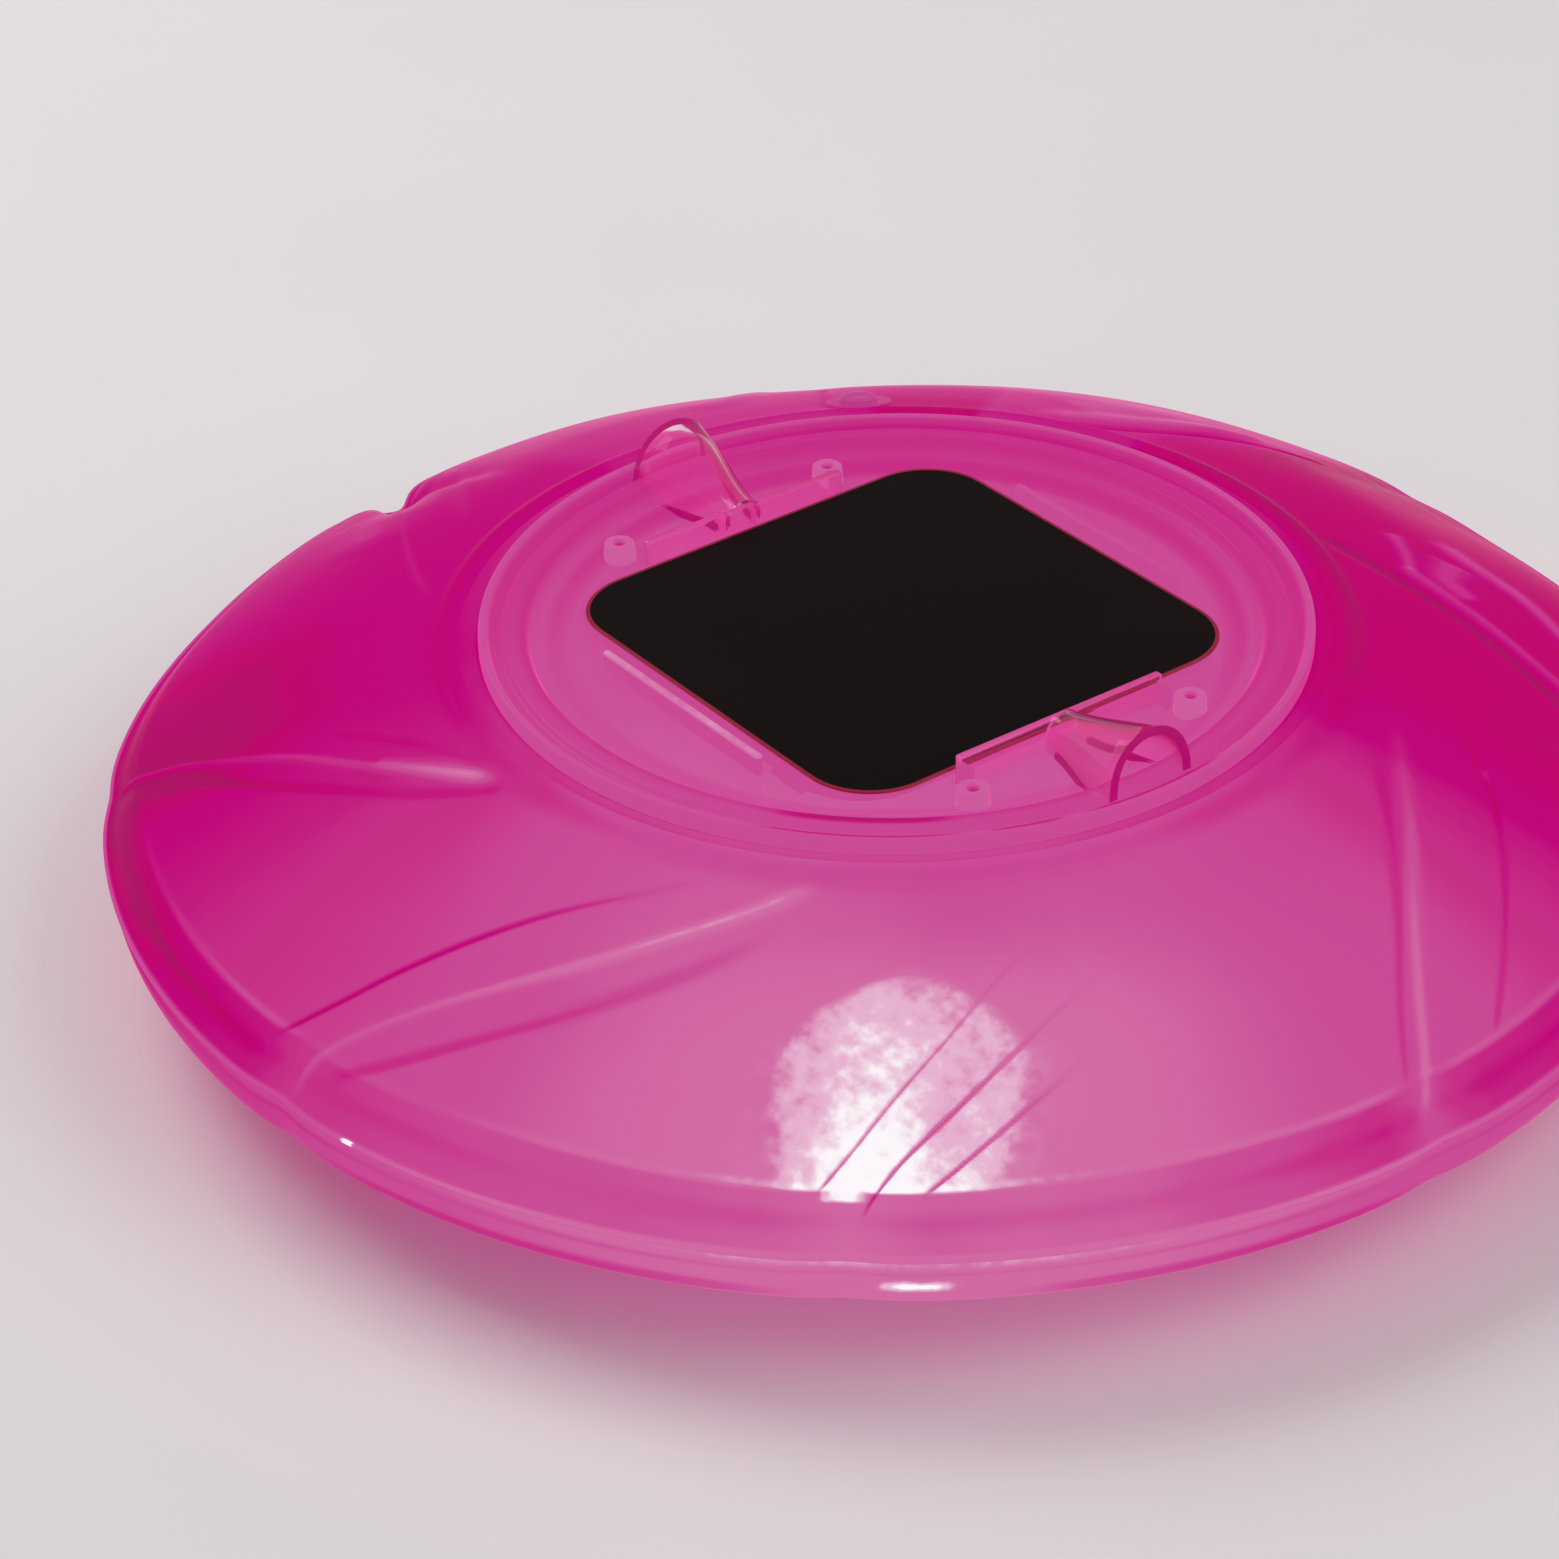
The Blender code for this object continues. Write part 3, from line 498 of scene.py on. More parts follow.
def clear_plastic(name):
    """Clear polished plastic that turns deep pink where it is seen edge on."""
    mat, nodes, links, shader = shader_of(name)
    facing = nodes.new("ShaderNodeLayerWeight")
    facing.inputs["Blend"].default_value = 0.35
    ramp = nodes.new("ShaderNodeValToRGB")
    ramp.color_ramp.elements[0].position = 0.25
    ramp.color_ramp.elements[0].color = (*linear("FFEAF6"), 1)
    ramp.color_ramp.elements[1].position = 0.62
    ramp.color_ramp.elements[1].color = (*linear("D01080"), 1)
    links.new(facing.outputs["Facing"], ramp.inputs["Fac"])
    links.new(ramp.outputs["Color"], shader.inputs["Base Color"])
    shader.inputs["Transmission Weight"].default_value = 1.0
    shader.inputs["IOR"].default_value = 1.25
    shader.inputs["Emission Color"].default_value = (*linear("C82F87"), 1)
    shader.inputs["Emission Strength"].default_value = 0.06
    fine = noise_node(nodes, links, 260, 2)
    rough = math_node(nodes, links, "MULTIPLY", fine.outputs["Fac"], 0.10)
    links.new(math_node(nodes, links, "ADD", rough, 0.03), shader.inputs["Roughness"])
    return mat


def dark_edge(name, colour, strength):
    """A cut edge painted deep in colour, as light that runs out of it makes it look."""
    mat, nodes, links, shader = shader_of(name)
    cloud = noise_node(nodes, links, 160, 3)
    ramp = nodes.new("ShaderNodeValToRGB")
    base = linear(colour)
    ramp.color_ramp.elements[0].color = (*[c * 0.7 for c in base], 1)
    ramp.color_ramp.elements[1].color = (*[c * 1.3 for c in base], 1)
    links.new(cloud.outputs["Fac"], ramp.inputs["Fac"])
    links.new(ramp.outputs["Color"], shader.inputs["Emission Color"])
    shader.inputs["Emission Strength"].default_value = strength
    shader.inputs["Base Color"].default_value = (*linear("3A0420"), 1)
    shader.inputs["Roughness"].default_value = 0.3
    shader.inputs["Specular IOR Level"].default_value = 0.2
    return mat


def plain(name, colour, roughness, metallic=0.0, grain=300, variation=0.12, bump=0.05):
    """A moulded or metal finish with fine grain and slight colour change."""
    mat, nodes, links, shader = shader_of(name)
    noise = noise_node(nodes, links, grain, 4)
    ramp = nodes.new("ShaderNodeValToRGB")
    base = linear(colour)
    ramp.color_ramp.elements[0].color = (*[c * (1 - variation) for c in base], 1)
    ramp.color_ramp.elements[1].color = (*[min(1, c * (1 + variation)) for c in base], 1)
    links.new(noise.outputs["Fac"], ramp.inputs["Fac"])
    links.new(ramp.outputs["Color"], shader.inputs["Base Color"])
    shader.inputs["Metallic"].default_value = metallic
    rough = math_node(nodes, links, "MULTIPLY", noise.outputs["Fac"], 0.12)
    links.new(math_node(nodes, links, "ADD", rough, roughness - 0.06), shader.inputs["Roughness"])
    add_bump(nodes, links, shader, noise.outputs["Fac"], bump, 0.0002)
    return mat


# ------------------------------------------------------------------ the float

FILM = 0.6 * MM  # thickness of the drawn films

# Outlines from the rim inwards, radius and height in mm. The upper film blends from the taut
# one at the back to the full one in front.
TAUT_TOP = [
    (175, 0.45), (173.6, 0.6), (172.2, 1.4), (170, 3.6), (160, 9.9), (150, 15.2), (140, 20.2),
    (130, 24.7), (115, 30.0), (104, 33.4), (101, 34.4), (99.6, 35.3), (98.2, 35.75), (95, 35.8),
]  # fmt: skip
FULL_TOP = [
    (175, 0.45), (173.6, 0.6), (172, 3.0), (169.4, 7.0), (166.5, 9.8), (158, 14.3), (145, 20.2),
    (125, 27.3), (110, 31.6), (104, 33.5), (101, 34.5), (99.6, 35.3), (98.2, 35.75), (95, 35.8),
]  # fmt: skip
LOWER = [
    (175, -0.45), (173.8, -0.8), (174.2, -4.5), (173.1, -9.2), (170.1, -13.3), (162, -17.2),
    (149, -20.3), (130, -23), (110, -25.2), (84, -27.2), (77, -27.4),
]  # fmt: skip


def film_angles():
    """Degrees round the float, closer together where the folds are finest."""
    spans = [(0, 30, 0.2), (30, 228, 0.4), (228, 314, 0.2), (314, 350, 0.1), (350, 360, 0.2)]
    return np.concatenate([np.arange(*span) for span in spans])


def rim_pull(angles):
    """How far the rim is pulled in: sharply at each pucker, gently where it isn't round."""
    pull = np.zeros_like(angles)
    for middle, depth, half_width in PUCKERS:
        away = np.abs(turn_between(angles, middle)) / half_width
        pull += depth * MM * np.exp(-(away**1.7))
    return pull


def lobe(angles):
    """0 at each pucker, 1 half way between two."""
    share = np.zeros_like(angles)
    for start, end in zip(LOBE_ENDS, LOBE_ENDS[1:] + [LOBE_ENDS[0] + 360]):
        t = ((angles - start) % 360) / (end - start)
        share = np.where(t < 1, np.sin(math.pi * np.clip(t, 0, 1)) ** 2, share)
    return share


def plan_point(angle, r):
    """A place on the plan in metres, from degrees and mm."""
    return r * math.cos(math.radians(angle)) * MM, r * math.sin(math.radians(angle)) * MM


def fold_terms(x, y):
    """Height, and glow of painted highlight and shade, that the folds add at points of the plan."""
    height, glow = np.zeros_like(x), np.zeros_like(x)
    for route, width, rise, bright, fade in FOLDS:
        path = smooth_curve([plan_point(angle, r) for angle, r in route], 6)
        reach = 4 * width * MM
        near = (x > path[:, 0].min() - reach) & (x < path[:, 0].max() + reach)
        near &= (y > path[:, 1].min() - reach) & (y < path[:, 1].max() + reach)
        px, py = x[near], y[near]
        best, share = np.full(px.shape, 1.0), np.zeros(px.shape)
        for i, (start, end) in enumerate(zip(path, path[1:])):
            step = end - start
            t = np.clip(((px - start[0]) * step[0] + (py - start[1]) * step[1]) / step.dot(step), 0, 1)
            away = np.hypot(px - start[0] - t * step[0], py - start[1] - t * step[1])
            closer = away < best
            best = np.where(closer, away, best)
            share = np.where(closer, (i + t) / (len(path) - 1), share)
        spread = width * MM * (0.7 + 0.6 * share)
        shape = np.exp(-((best / spread) ** 2))
        shape *= smoothstep(-0.02, 0.06, share) * (1 - smoothstep(fade, 1.0, share))
        height[near] += rise * MM * shape
        glow[near] += bright * shape
    return height, glow


def round_glow(angles, column=2):
    """The film's own glow near the collar (column 1) or near the rim (column 2)."""
    rows = np.array(GLOW)
    return np.interp(np.asarray(angles) % 360, rows[:, 0], rows[:, column])


def band_glow(angles):
    """How much painted shade darkens the steep band."""
    return np.interp(angles % 360, [b[0] for b in BAND], [b[1] for b in BAND])


def hot_spot(angles, r):
    """The LED's bright patch: rounded towards the collar, cut off by the shoulder. Beyond the shoulder a
    small painted highlight (tip) stays.
    """
    lean = 0.04 * (145 - r)
    across = turn_between(angles, HOT_SPOT_ANGLE + lean) * math.pi / 180 * r
    half = np.interp(r, [120, 124, 130, 140, 150, 160, 167], [0.5, 9, 17, 24, 25, 22.5, 20])
    inside = smoothstep(-2.0, 4.5, half - np.abs(across))
    strength = np.interp(r, [119, 124, 132, 145, 158, 166], [0.0, 0.12, 0.14, 0.12, 0.16, 0.22])
    core = np.exp(-(((across + 3.5) / 10) ** 4)) * np.interp(r, [128, 142, 158, 166], [0, 0.10, 0.16, 0.12])
    halo = np.exp(-((across / 38) ** 2)) * np.exp(-(((r - 146) / 26) ** 2))
    ended = 1 - smoothstep(SHOULDER_R - 0.4, SHOULDER_R + 0.4, r)
    # tip is a painted highlight in the band just beyond the shoulder
    tip = np.exp(-(((across + 8) / 4) ** 4)) * (1 - smoothstep(167.8, 168.4, r)) * smoothstep(165, 166, r)
    return (0.06 * halo + inside * strength + core) * ended + 0.4 * tip * (1 - ended)


def top_film_glow(angles, r):
    """Glow of the upper film at radii in mm, before its folds. Painted shade darkens the steep band and the
    film beside the collar; painted highlights brighten the shoulder's edge, the seam bead and a glint on
    it.
    """
    inward = smoothstep(104, 145, r)
    glow = round_glow(angles, 1) * (1 - inward) + round_glow(angles, 2) * inward
    band = band_glow(angles)
    in_band = smoothstep(SHOULDER_R - 0.3, SHOULDER_R + 0.7, r) * (1 - smoothstep(173.4, 174.2, r))
    # painted shade in the steep band, and a painted highlight along the shoulder's edge
    glow -= band * in_band * (0.75 + 0.5 * np.exp(-(((r - 170.4) / 1.1) ** 2)))
    glow += 0.35 * band * np.exp(-(((r - SHOULDER_R + 0.8) / 0.7) ** 2))
    # painted highlight on the seam bead, with a painted glint at GLINT_ANGLE
    seam = smoothstep(173.9, 174.5, r)
    glow = glow * (1 - seam) + np.clip(glow + 0.12, 0.78, 0.98) * seam
    glow += 0.5 * seam * np.exp(-((turn_between(angles, GLINT_ANGLE) / 0.5) ** 4))
    # painted shade on the film beside the collar
    glow -= 0.10 * np.exp(-(((r - 99.2) / 2.8) ** 2))
    return glow + hot_spot(angles, r)


def make_top_film(mat):
    """The upper film: a blend of a taut and a full outline, then puckers, lobes and folds."""
    angles = film_angles()
    near_rim, further_in = np.arange(175, 164, -0.3), np.arange(164, 95, -0.62)
    radius = np.concatenate([near_rim, further_in, [95]]) * MM
    taut, full = smooth_curve(TAUT_TOP)[::-1] * MM, smooth_curve(FULL_TOP)[::-1] * MM
    taut_z = np.interp(radius, taut[:, 0], taut[:, 1])
    full_z = np.interp(radius, full[:, 0], full[:, 1])
    fullness = 0.5 + 0.5 * np.cos(np.radians(turn_between(angles, 315)))
    a, r = np.meshgrid(angles, radius)
    z = taut_z[:, None] * (1 - fullness) + full_z[:, None] * fullness
    r_moved = r - rim_pull(angles)[None, :] * smoothstep(118 * MM, 174 * MM, r)
    swell = smoothstep(173.5 * MM, 163 * MM, r) * smoothstep(112 * MM, 158 * MM, r)
    z = z + (1.1 * lobe(angles)[None, :] - 0.8) * MM * swell
    x, y = r_moved * np.cos(np.radians(a)), r_moved * np.sin(np.radians(a))
    height, bright = fold_terms(x, y)
    z += height * smoothstep(99.5 * MM, 104 * MM, r) * smoothstep(174.5 * MM, 170 * MM, r)
    outer = np.stack([x, y, z + SEAM_Z], -1)
    obj, kept = polar_shell("float_top", outer, np.full(len(radius), FILM), mat)
    # bright is the folds' painted highlight and shade, added to the glow
    glow = top_film_glow(a, r / MM) + bright * smoothstep(98.5 * MM, 101 * MM, r)
    set_shell_glow(obj, glow, kept)
    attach(obj, "float")
    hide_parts("float_upper_film")
    return obj


def make_lower_film(mat):
    """The lower film: under the rim its glow follows the upper film's, and fades below. Painted
    shade makes two dark streaks and a thin line 4.4 mm under the seam; painted highlights make a
    brighter band just under the seam and a glint.
    """
    angles = np.arange(0, 360, 0.5)
    curve = smooth_curve(LOWER) * MM
    steps = np.concatenate([[0], np.cumsum(np.linalg.norm(np.diff(curve, axis=0), axis=1))])
    at = steps[-1] * np.linspace(0, 1, 110) ** 1.7
    radius, height = np.interp(at, steps, curve[:, 0]), np.interp(at, steps, curve[:, 1])
    a, r = np.meshgrid(angles, radius)
    r_moved = r - rim_pull(angles)[None, :] * smoothstep(118 * MM, 172 * MM, r)
    z = np.repeat(height[:, None], len(angles), axis=1)
    x, y = r_moved * np.cos(np.radians(a)), r_moved * np.sin(np.radians(a))
    outer = np.stack([x, y, z + SEAM_Z], -1)[::-1]
    obj, kept = polar_shell("float_bottom", outer, np.full(len(radius), FILM), mat, 4)
    down = at[:, None] / MM
    shade_streak = sum(np.exp(-((turn_between(a, middle) / half) ** 4)) for middle, half in SHADE_STREAKS)
    glow = 0.06 + 0.92 * round_glow(a)
    # painted highlight just under the seam, and a thin line of painted shade 4.4 mm below it
    glow = glow - 0.08 * np.exp(-(((down - 4.4) / 0.5) ** 2)) + 0.08 * np.exp(-(((down - 2.0) / 1.4) ** 2))
    # painted shade: the dark streaks under the rim
    glow -= 0.26 * shade_streak * np.exp(-(((down - 11) / 2.2) ** 4))
    glow -= 0.4 * smoothstep(60, 10, r / MM - 90)
    glint = np.exp(-((turn_between(a, LOWER_GLINT_ANGLE) / 2.0) ** 4))
    glint *= np.exp(-(((down - 7.5) / 1.2) ** 2))
    glow = (glow + 0.45 * glint)[::-1]
    set_shell_glow(obj, glow, kept)
    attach(obj, "float")
    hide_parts("float_lower_film")
    return obj


def make_collar(mat):
    """The thick welded ring that the lamp locks into, remade smooth with soft edges."""
    corners = [
        (93, 35.15), (96.6, 35.1), (97, 28.7), (84.5, 28.7),
        (84.5, 34.0), (91.1, 34.0), (91.3, 35.1), (93, 35.15),
    ]  # fmt: skip
    outline = [(p.x, p.y) for p in dense(rounded(corners, 0.4), 1.2)]
    ring = turned("collar_ring", outline[:-1], mat)
    points = np.array([v.co for v in ring.data.vertices])
    angles = np.degrees(np.arctan2(points[:, 1], points[:, 0]))
    r = np.hypot(points[:, 0], points[:, 1]) / MM
    rows = np.array(COLLAR_GLOW)
    # a thin darker line at 94.6 mm, and painted shade on the faces below 34.6 mm
    glow = np.interp(angles % 360, rows[:, 0], rows[:, 1]) - 0.06 * np.exp(-(((r - 94.6) / 1.0) ** 2))
    set_attribute(ring, "glow", glow - 0.08 * (points[:, 2] < SEAM_Z + 34.6 * MM))
    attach(ring, "float")
    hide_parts("upper_collar_ring")
    return ring


# ------------------------------------------------------------------ the lamp's cover

# Places of the cover's mouldings in mm from its middle; heights are above the seam
RIB_OUT = 57.8
RIB_TURN = 1.6  # degrees
POST_PLACE = (64, 29)
RETURN_PLACE = (58.4, 26.4)
WALL_OUT = 56.4
MOUTH_OUT = 85.3
MOUTH_FACE_OUT = 84.1
POST = [(0, 35.6), (1.3, 35.6), (1.5, 36.3), (3.4, 36.3), (3.7, 31), (0, 31)]

# Dark arcs that imitate the panel's reflection in the cover's steps: radius and half depth in
# mm, middle and half width in degrees, how dark
COVER_ARCS = [
    (81.2, 1.4, 318, 11.5, 0.62), (89.0, 0.75, 318, 12, 0.66),
    (89.0, 0.75, 340, 4.5, 0.66), (89.0, 0.75, 359, 10, 0.66),
]  # fmt: skip

# How strongly the tray and lip glow, set from the photo, with a painted highlight on the lip
# and painted shade in the grooves: radius (mm), at the back, in front
COVER_GLOW = [
    (0, 0.74, 0.86), (70, 0.72, 0.88), (72.5, 0.62, 0.80), (75, 0.56, 0.80), (77, 0.66, 0.86),
    (79.3, 0.64, 0.80), (80.6, 0.54, 0.62), (82.5, 0.60, 0.72), (84.6, 0.54, 0.74),
    (86.6, 0.44, 0.76), (88.0, 0.46, 0.76), (88.9, 0.76, 0.80), (90.0, 0.84, 0.84),
    (90.6, 0.50, 0.80),
]  # fmt: skip


def dense(outline, step):
    """Adds points along an outline's straight runs, at most a step apart."""
    found = []
    for a, b in zip(outline, outline[1:]):
        a, b = Vector(a), Vector(b)
        parts = max(1, math.ceil((b - a).length / step))
        found += [a.lerp(b, i / parts) for i in range(parts)]
    return found + [Vector(outline[-1])]


def cover_outline():
    corners = [
        (0, 32.2), (71.5, 32.2), (74, 33.0), (79.0, 34.2), (80.4, 37.0), (85.0, 37.2),
        (85.7, 36.0), (88.0, 36.0), (88.7, 38.1), (89.5, 38.5), (90.2, 38.3), (90.5, 37.4),
        (90.5, 34.3), (83.5, 34.3), (83.5, 30.4), (0, 30.4),
    ]  # fmt: skip
    return [(p.x, p.y) for p in dense(rounded(corners, 0.6), 0.6)]


def cover_glow(points):
    """Soft rings of painted highlight and shade over the tray, with painted dark arcs for the steps'
    reflection.
    """
    angles = np.degrees(np.arctan2(points[:, 1], points[:, 0]))
    r = np.hypot(points[:, 0], points[:, 1]) / MM
    front = 0.5 + 0.5 * np.cos(np.radians(turn_between(angles, 310)))
    rows = np.array(COVER_GLOW)
    back_glow, front_glow = np.interp(r, rows[:, 0], rows[:, 1]), np.interp(r, rows[:, 0], rows[:, 2])
    glow = back_glow * (1 - front) + front_glow * front
    for arc_r, half_depth, middle, half_width, dark in COVER_ARCS:
        along = np.exp(-((turn_between(angles, middle) / half_width) ** 6))
        glow -= dark * np.exp(-(((r - arc_r) / half_depth) ** 4)) * along
    return glow


def arch_section(half_width, rise, wall):
    """Outer and inner points of an arch that stands on its two feet."""
    steps = 20
    outer, inner = [], []
    for step in range(steps + 1):
        a = math.pi * step / steps
        c, s = math.cos(a), math.sin(a)
        outer.append((half_width * c, rise * s**0.85))
        inner.append(((half_width - wall) * c, (rise - wall) * s**0.85))
    return outer, inner


def grip_hood(side):
    """A clear half funnel, widest at its mouth, that runs in to the panel's wall."""
    length, spring, skirt = 28.5, 35.6, 31.6
    stations, points, faces = [], [], []
    for step in range(15):
        t = step / 14
        width = 4.8 + 6.0 * (1 - smoothstep(0, 1, t))
        rise = 4.4 + 9.3 * (1 - t) ** 1.15
        wall = 1.2 + 0.9 * math.exp(-((step / 1.2) ** 2))
        stations.append((MOUTH_OUT - length * t, width, rise, wall))
    for x, width, rise, wall in stations:
        outer, inner = arch_section(width, rise, wall)
        foot, line = skirt - spring, skirt - spring + 2.2
        inside = width - wall
        loop = [(width, foot), (width, line), *outer, (-width, line), (-width, foot)]
        back = [(-inside, foot), (-inside, line), *inner[::-1], (inside, line), (inside, foot)]
        lean = 1.0 if x == MOUTH_OUT else 0.0
        for y, z in loop + back:
            leant = x - lean * max(z, 0) / 14
            points.append((side * leant * MM, y * side * MM, SEAM_Z + (spring + z) * MM))
    count = len(points) // len(stations)
    half = count // 2
    for row in range(len(stations) - 1):
        a, b = row * count, (row + 1) * count
        for i in range(count):
            k = (i + 1) % count
            faces.append((a + i, a + k, b + k, b + i))
    end = (len(stations) - 1) * count
    for base, flip in ((0, True), (end, False)):
        for i in range(half - 1):
            quad = (base + i, base + i + 1, base + count - 2 - i, base + count - 1 - i)
            faces.append(quad[::-1] if flip else quad)
    return add_mesh("grip_hood", points, faces)


def block(name, centre, size, bevel):
    """A bevelled block; centre is in mm with its height above the seam."""
    mesh = bpy.data.meshes.new(name)
    cage = bmesh.new()
    bmesh.ops.create_cube(cage, size=1)
    bmesh.ops.scale(cage, vec=[s * MM for s in size], verts=cage.verts)
    bmesh.ops.bevel(cage, geom=cage.edges[:], offset=bevel, segments=3, profile=0.5, affect="EDGES")
    shift = Vector((centre[0] * MM, centre[1] * MM, SEAM_Z + centre[2] * MM))
    bmesh.ops.translate(cage, vec=shift, verts=cage.verts)
    cage.to_mesh(mesh)
    cage.free()
    obj = bpy.data.objects.new(name, mesh)
    bpy.context.scene.collection.objects.link(obj)
    return obj


def turned_at(name, at, outline, radius):
    """A small turned part that stands at (x, y) in mm."""
    obj = turned(name, rounded(outline, radius, 3), None, steps=40)
    obj.data.transform(Matrix.Translation((at[0] * MM, at[1] * MM, 0)))
    return obj


def onto_lamp(obj, replaced):
    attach(obj, "lamp")
    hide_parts(replaced)
    return obj


def make_cover(mat):
    """The tray and lip, with the low ribs along two sides of the panel."""
    cover = turned("cover_tray", cover_outline(), mat)
    points = np.array([v.co for v in cover.data.vertices])
    set_attribute(cover, "glow", cover_glow(points))
    onto_lamp(cover, "top_cover")
    for side in (1, -1):
        rib = block("low_rib", (0, side * RIB_OUT, 34.7), (55, 2.0, 5.2), 0.85 * MM)
        rib.data.transform(Matrix.Rotation(math.radians(RIB_TURN), 4, "Z"))
        # crest is a painted highlight on the rib's top, strong on one rib only
        crest = 0.30 if side < 0 else 0.02
        finish_small(rib, mat, lambda p: rib_glow(p, crest))
        for end in (1, -1):
            at = (side * POST_PLACE[0], end * POST_PLACE[1])
            post = turned_at("post", at, POST, 0.35)
            finish_small(post, mat, lambda p: post_glow(p, at))
            place = (side * RETURN_PLACE[0], end * RETURN_PLACE[1], 34.4)
            clip = block("wall_return", place, (4.2, 1.7, 6.4), 0.5 * MM)
            finish_small(clip, mat, lambda p: np.full(len(p), 0.74))


def finish_small(obj, mat, glow):
    """Shades a small moulding on the cover and gives it its glow."""
    obj.data.materials.clear()
    obj.data.materials.append(mat)
    obj.data.shade_smooth()
    obj.data.set_sharp_from_angle(angle=math.radians(50))
    set_attribute(obj, "glow", glow(np.array([v.co for v in obj.data.vertices])))
    onto_lamp(obj, "top_cover")


def rib_glow(points, crest):
    """Even along the rib's sides, with its crest brighter by the given amount: a painted highlight."""
    return 0.76 + crest * smoothstep(SEAM_Z + 36.4 * MM, SEAM_Z + 37.0 * MM, points[:, 2])


def post_glow(points, at):
    """Bright round the top, with painted shade darkening the screw's dimple."""
    r = np.hypot(points[:, 0] / MM - at[0], points[:, 1] / MM - at[1])
    return 0.9 - 0.45 * smoothstep(1.7, 0.6, r)


def make_grips(glass, edge):
    """The tall clear walls beside the panel, each with its hood."""
    for side in (1, -1):
        wall = block("tall_wall", (side * WALL_OUT, 0, 35.2), (2.2, 54, 7.8), 0.6 * MM)
        grip = boolean(wall, grip_hood(side), "UNION")
        grip.name = grip.data.name = "clear_grip"
        mesh = grip.data
        mesh.materials.clear()
        mesh.materials.append(glass)
        mesh.materials.append(edge)
        # faces at the hood's mouth and along its feet take the edge look, painted deep in colour as light
        # running out of a cut edge makes it look
        for face in mesh.polygons:
            out, height = face.center.x * side / MM, (face.center.z - SEAM_Z) / MM
            at_mouth = out > MOUTH_FACE_OUT and abs(face.normal.x) > 0.8
            at_foot = 60 < out < 84 and height < 33.9 and abs(face.normal.y) > 0.5
            face.material_index = 1 if at_mouth or at_foot else 0
        mesh.shade_smooth()
        mesh.set_sharp_from_angle(angle=math.radians(38))
        onto_lamp(grip, "top_cover")


# ------------------------------------------------------------------ the solar panel

FACE_INSET = 0.6 * MM
FACE_TURN = 1.1  # degrees; the panel sits askew
FACE_SHIFT = (1.0 * MM, 0.5 * MM, 0)
CELL_PITCH = 16 * MM
FINGER_PITCH = 2.2 * MM


def rounded_plate(name, half, corner, low, high, mat, edge):
    """A square plate with round corners, in metres, and its edges softened by edge mm."""
    points, faces = [], []
    edge *= MM
    rows = [(edge, low), (0, low + edge), (0, high - edge), (edge, high), (0.9 * MM, high)]
    per_corner = 15
    for inset, z in rows:
        for quarter in range(4):
            sx, sy = (1, -1, -1, 1)[quarter], (1, 1, -1, -1)[quarter]
            for step in range(per_corner):
                a = math.pi / 2 * (quarter + step / (per_corner - 1))
                reach = corner - inset
                x = sx * (half - corner) + reach * math.cos(a)
                points.append((x, sy * (half - corner) + reach * math.sin(a), z))
    count = 4 * per_corner
    for row in range(len(rows) - 1):
        for i in range(count):
            k = (i + 1) % count
            a, b = row * count, (row + 1) * count
            faces.append((a + i, a + k, b + k, b + i))
    faces.append(list(range(count))[::-1])
    faces.append([(len(rows) - 1) * count + i for i in range(count)])
    return add_mesh(name, points, faces, mat)


def make_panel(mat, edge):
    """The coated face, with the cover's light painted red on its outer edge."""
    half = BOARD_HIGH.x - FACE_INSET
    face = rounded_plate("panel_face", half, 16 * MM, CLEAR_LOW.z, CLEAR_HIGH.z, mat, 0.2)
    askew = Matrix.Rotation(math.radians(FACE_TURN), 4, "Z")
    face.data.transform(Matrix.Translation(FACE_SHIFT) @ askew)
    face.data.materials.append(edge)
    for polygon in face.data.polygons:
        polygon.material_index = 1 if len(polygon.vertices) == 4 else 0
    onto_lamp(face, "panel_clear_layer")


def panel_coat():
    """Satin black coat over the cells: faint strips and hair-thin fingers show through."""
    mat, nodes, links, shader = shader_of("panel_coat_look")
    coord = nodes.new("ShaderNodeTexCoord")
    split = nodes.new("ShaderNodeSeparateXYZ")
    links.new(coord.outputs["Object"], split.inputs[0])
    strip = math_node(nodes, links, "DIVIDE", split.outputs["X"], CELL_PITCH)
    strip = math_node(nodes, links, "FRACT", math_node(nodes, links, "ADD", strip, 100.0), 0)
    gap = math_node(nodes, links, "LESS_THAN", strip, 0.03)
    finger = math_node(nodes, links, "DIVIDE", split.outputs["Y"], FINGER_PITCH)
    finger = math_node(nodes, links, "FRACT", math_node(nodes, links, "ADD", finger, 100.0), 0)
    line = math_node(nodes, links, "LESS_THAN", finger, 0.06)
    cloud = noise_node(nodes, links, 24, 5)
    faint = math_node(nodes, links, "MULTIPLY", math_node(nodes, links, "MAXIMUM", gap, line), 0.12)
    half_cloud = math_node(nodes, links, "MULTIPLY", cloud.outputs["Fac"], 0.5)
    faint = math_node(nodes, links, "ADD", faint, half_cloud)
    ramp = nodes.new("ShaderNodeValToRGB")
    ramp.color_ramp.elements[0].color = (*linear("0A0504"), 1)
    ramp.color_ramp.elements[1].color = (*linear("1E0D0A"), 1)
    links.new(faint, ramp.inputs["Fac"])
    links.new(ramp.outputs["Color"], shader.inputs["Base Color"])
    rough = math_node(nodes, links, "MULTIPLY", cloud.outputs["Fac"], 0.12)
    links.new(math_node(nodes, links, "ADD", rough, 0.34), shader.inputs["Roughness"])
    shader.inputs["Specular IOR Level"].default_value = 0.04
    add_bump(nodes, links, shader, cloud.outputs["Fac"], 0.04, 0.0003)
    return mat


# ------------------------------------------------------------------ CAD parts that stay


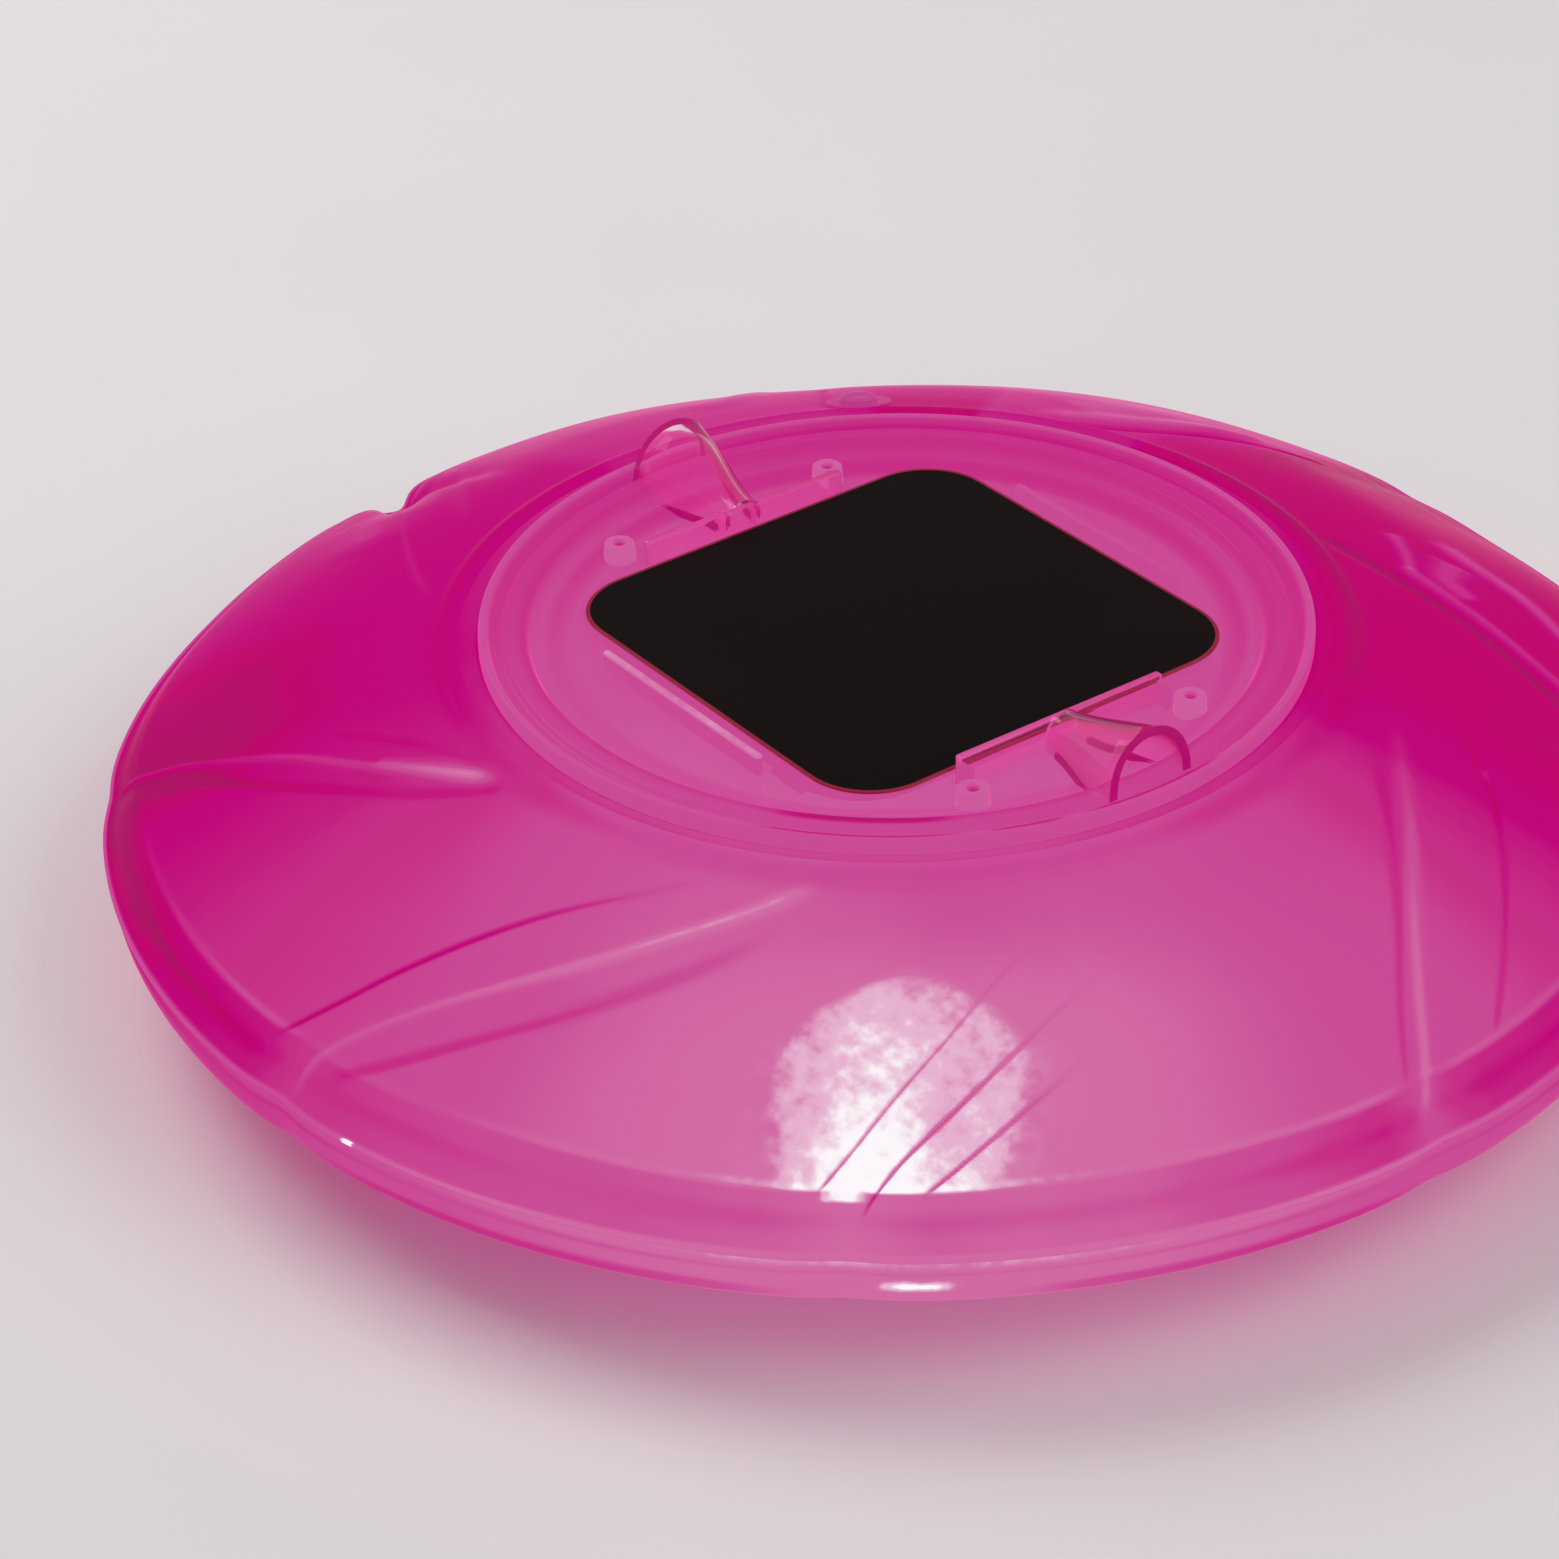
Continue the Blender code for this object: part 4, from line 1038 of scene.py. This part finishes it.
def dress_cad_nodes():
    lit_soft = lit_film("lit_soft_pvc", 0.85, 0.25)
    looks = {
        "float_inner_wall": lit_soft,
        "lower_collar_ring": lit_soft,
        "valve_body": lit_soft,
        "valve_plug": lit_soft,
        "valve_flap": lit_soft,
        "power_button": lit_soft,
        # the board is no lamp: its glow is painted light
        "panel_board": lit_film("painted_glow_panel_rim"),
        "lamp_bowl": lit_film("lit_bowl", 0.9, 0.12),
    }
    by_slot = {
        "panel_black": plain("panel_black_look", "140E10", 0.4),
        "cell_silicon": plain("cell_silicon_look", "16121C", 0.25),
        "foam": plain("foam_look", "DAD8D4", 0.9, grain=900, bump=0.3),
        "rubber_seal": plain("rubber_look", "1C1C1C", 0.7),
        "steel": plain("steel_look", "C9C9CB", 0.3, metallic=1.0, grain=700),
        "brass": plain("brass_look", "D6BC7C", 0.3, metallic=1.0, grain=700),
        "board_green": plain("board_green_look", "1B6B3A", 0.45),
        "chip_black": plain("chip_black_look", "1E1E1E", 0.5),
        "battery_jacket": plain("battery_jacket_look", "2F9C5A", 0.35),
        "wire_red": plain("wire_red_look", "C01818", 0.4),
        "wire_black": plain("wire_black_look", "1A1A1A", 0.4),
        "white_plastic": plain("white_plastic_look", "E4E4E0", 0.4),
        "led_epoxy": lit_film("lit_led", 2.0, 0.1),
    }
    slots = {s["node"]: s["material_slot"] for s in frame["record"]["subparts"]}
    for name, node in NODES.items():
        mat = looks.get(name) or by_slot.get(slots[name])
        if mat is None:
            continue
        node.data.materials.clear()
        node.data.materials.append(mat)
        node.data.shade_smooth()
        node.data.set_sharp_from_angle(angle=math.radians(35))
        points = np.array([v.co for v in node.data.vertices])
        angles = np.degrees(np.arctan2(points[:, 1], points[:, 0]))
        bright = NODE_GLOW.get(name, 0.2 + 0.6 * round_glow(angles))
        bright = 1.3 if slots[name] == "led_epoxy" else bright
        set_attribute(node, "glow", np.broadcast_to(bright, angles.shape))


# ------------------------------------------------------------------ stage


def make_stage():
    mesh = bpy.data.meshes.new("floor")
    half = 4.0
    corners = [(-half, -half, 0), (half, -half, 0), (half, half, 0), (-half, half, 0)]
    mesh.from_pydata(corners, [], [(0, 1, 2, 3)])
    floor = bpy.data.objects.new("floor", mesh)
    bpy.context.scene.collection.objects.link(floor)
    mesh.materials.append(plain("floor_look", "EAE6E7", 0.75, variation=0.02, grain=8))

    world = bpy.data.worlds.new("studio")
    world.use_nodes = True
    background = world.node_tree.nodes["Background"]
    background.inputs["Color"].default_value = (0.85, 0.84, 0.86, 1)
    background.inputs["Strength"].default_value = 0.45
    bpy.context.scene.world = world
    around = math.radians(VIEW_AROUND)
    for name, place, energy, size in (
        ("key", (-1.2, 0.9, 1.6), 22, 1.4),
        ("fill", (1.4, -0.4, 1.3), 12, 1.6),
    ):
        data = bpy.data.lights.new(name, "AREA")
        data.energy = energy
        data.size = size
        light = bpy.data.objects.new(name, data)
        light.location = Matrix.Rotation(around, 3, "Z") @ Vector(place)
        light.rotation_euler = (-light.location).to_track_quat("-Z", "Y").to_euler()
        bpy.context.scene.collection.objects.link(light)
    bpy.context.scene.view_settings.view_transform = "Standard"


def make_camera():
    data = bpy.data.cameras.new("camera")
    data.lens = LENS_MM
    data.sensor_width = 36
    data.clip_start = 0.01
    camera = bpy.data.objects.new("camera", data)
    bpy.context.scene.collection.objects.link(camera)
    elevation = math.radians(VIEW_ELEVATION)
    back = Vector((0, -math.cos(elevation), math.sin(elevation))) * VIEW_DISTANCE
    spin = Matrix.Rotation(math.radians(VIEW_AROUND), 4, "Z")
    tilt, pan, roll = (math.radians(a) for a in VIEW_AIM)
    camera.matrix_world = (
        Matrix.Translation((0, 0, SEAM_Z))
        @ spin
        @ Matrix.Translation(back)
        @ Matrix.Rotation(math.pi / 2 - elevation, 4, "X")
        @ Matrix.Rotation(tilt, 4, "X")
        @ Matrix.Rotation(pan, 4, "Y")
        @ Matrix.Rotation(roll, 4, "Z")
    )
    bpy.context.scene.camera = camera


# ------------------------------------------------------------------ build

make_camera()
make_stage()
FILM_LOOK = lit_film("lit_pvc_film")
make_top_film(FILM_LOOK)
make_lower_film(lit_film("lit_lower_film"))
make_collar(lit_film("lit_collar"))
make_cover(lit_film("lit_cover", 0.95, 0.16, 0.04, 0.03))
make_grips(clear_plastic("clear_grip_look"), dark_edge("mouth_edge", "B00A6A", 0.9))
make_panel(panel_coat(), dark_edge("panel_edge", "8E0C2C", 0.8))
dress_cad_nodes()
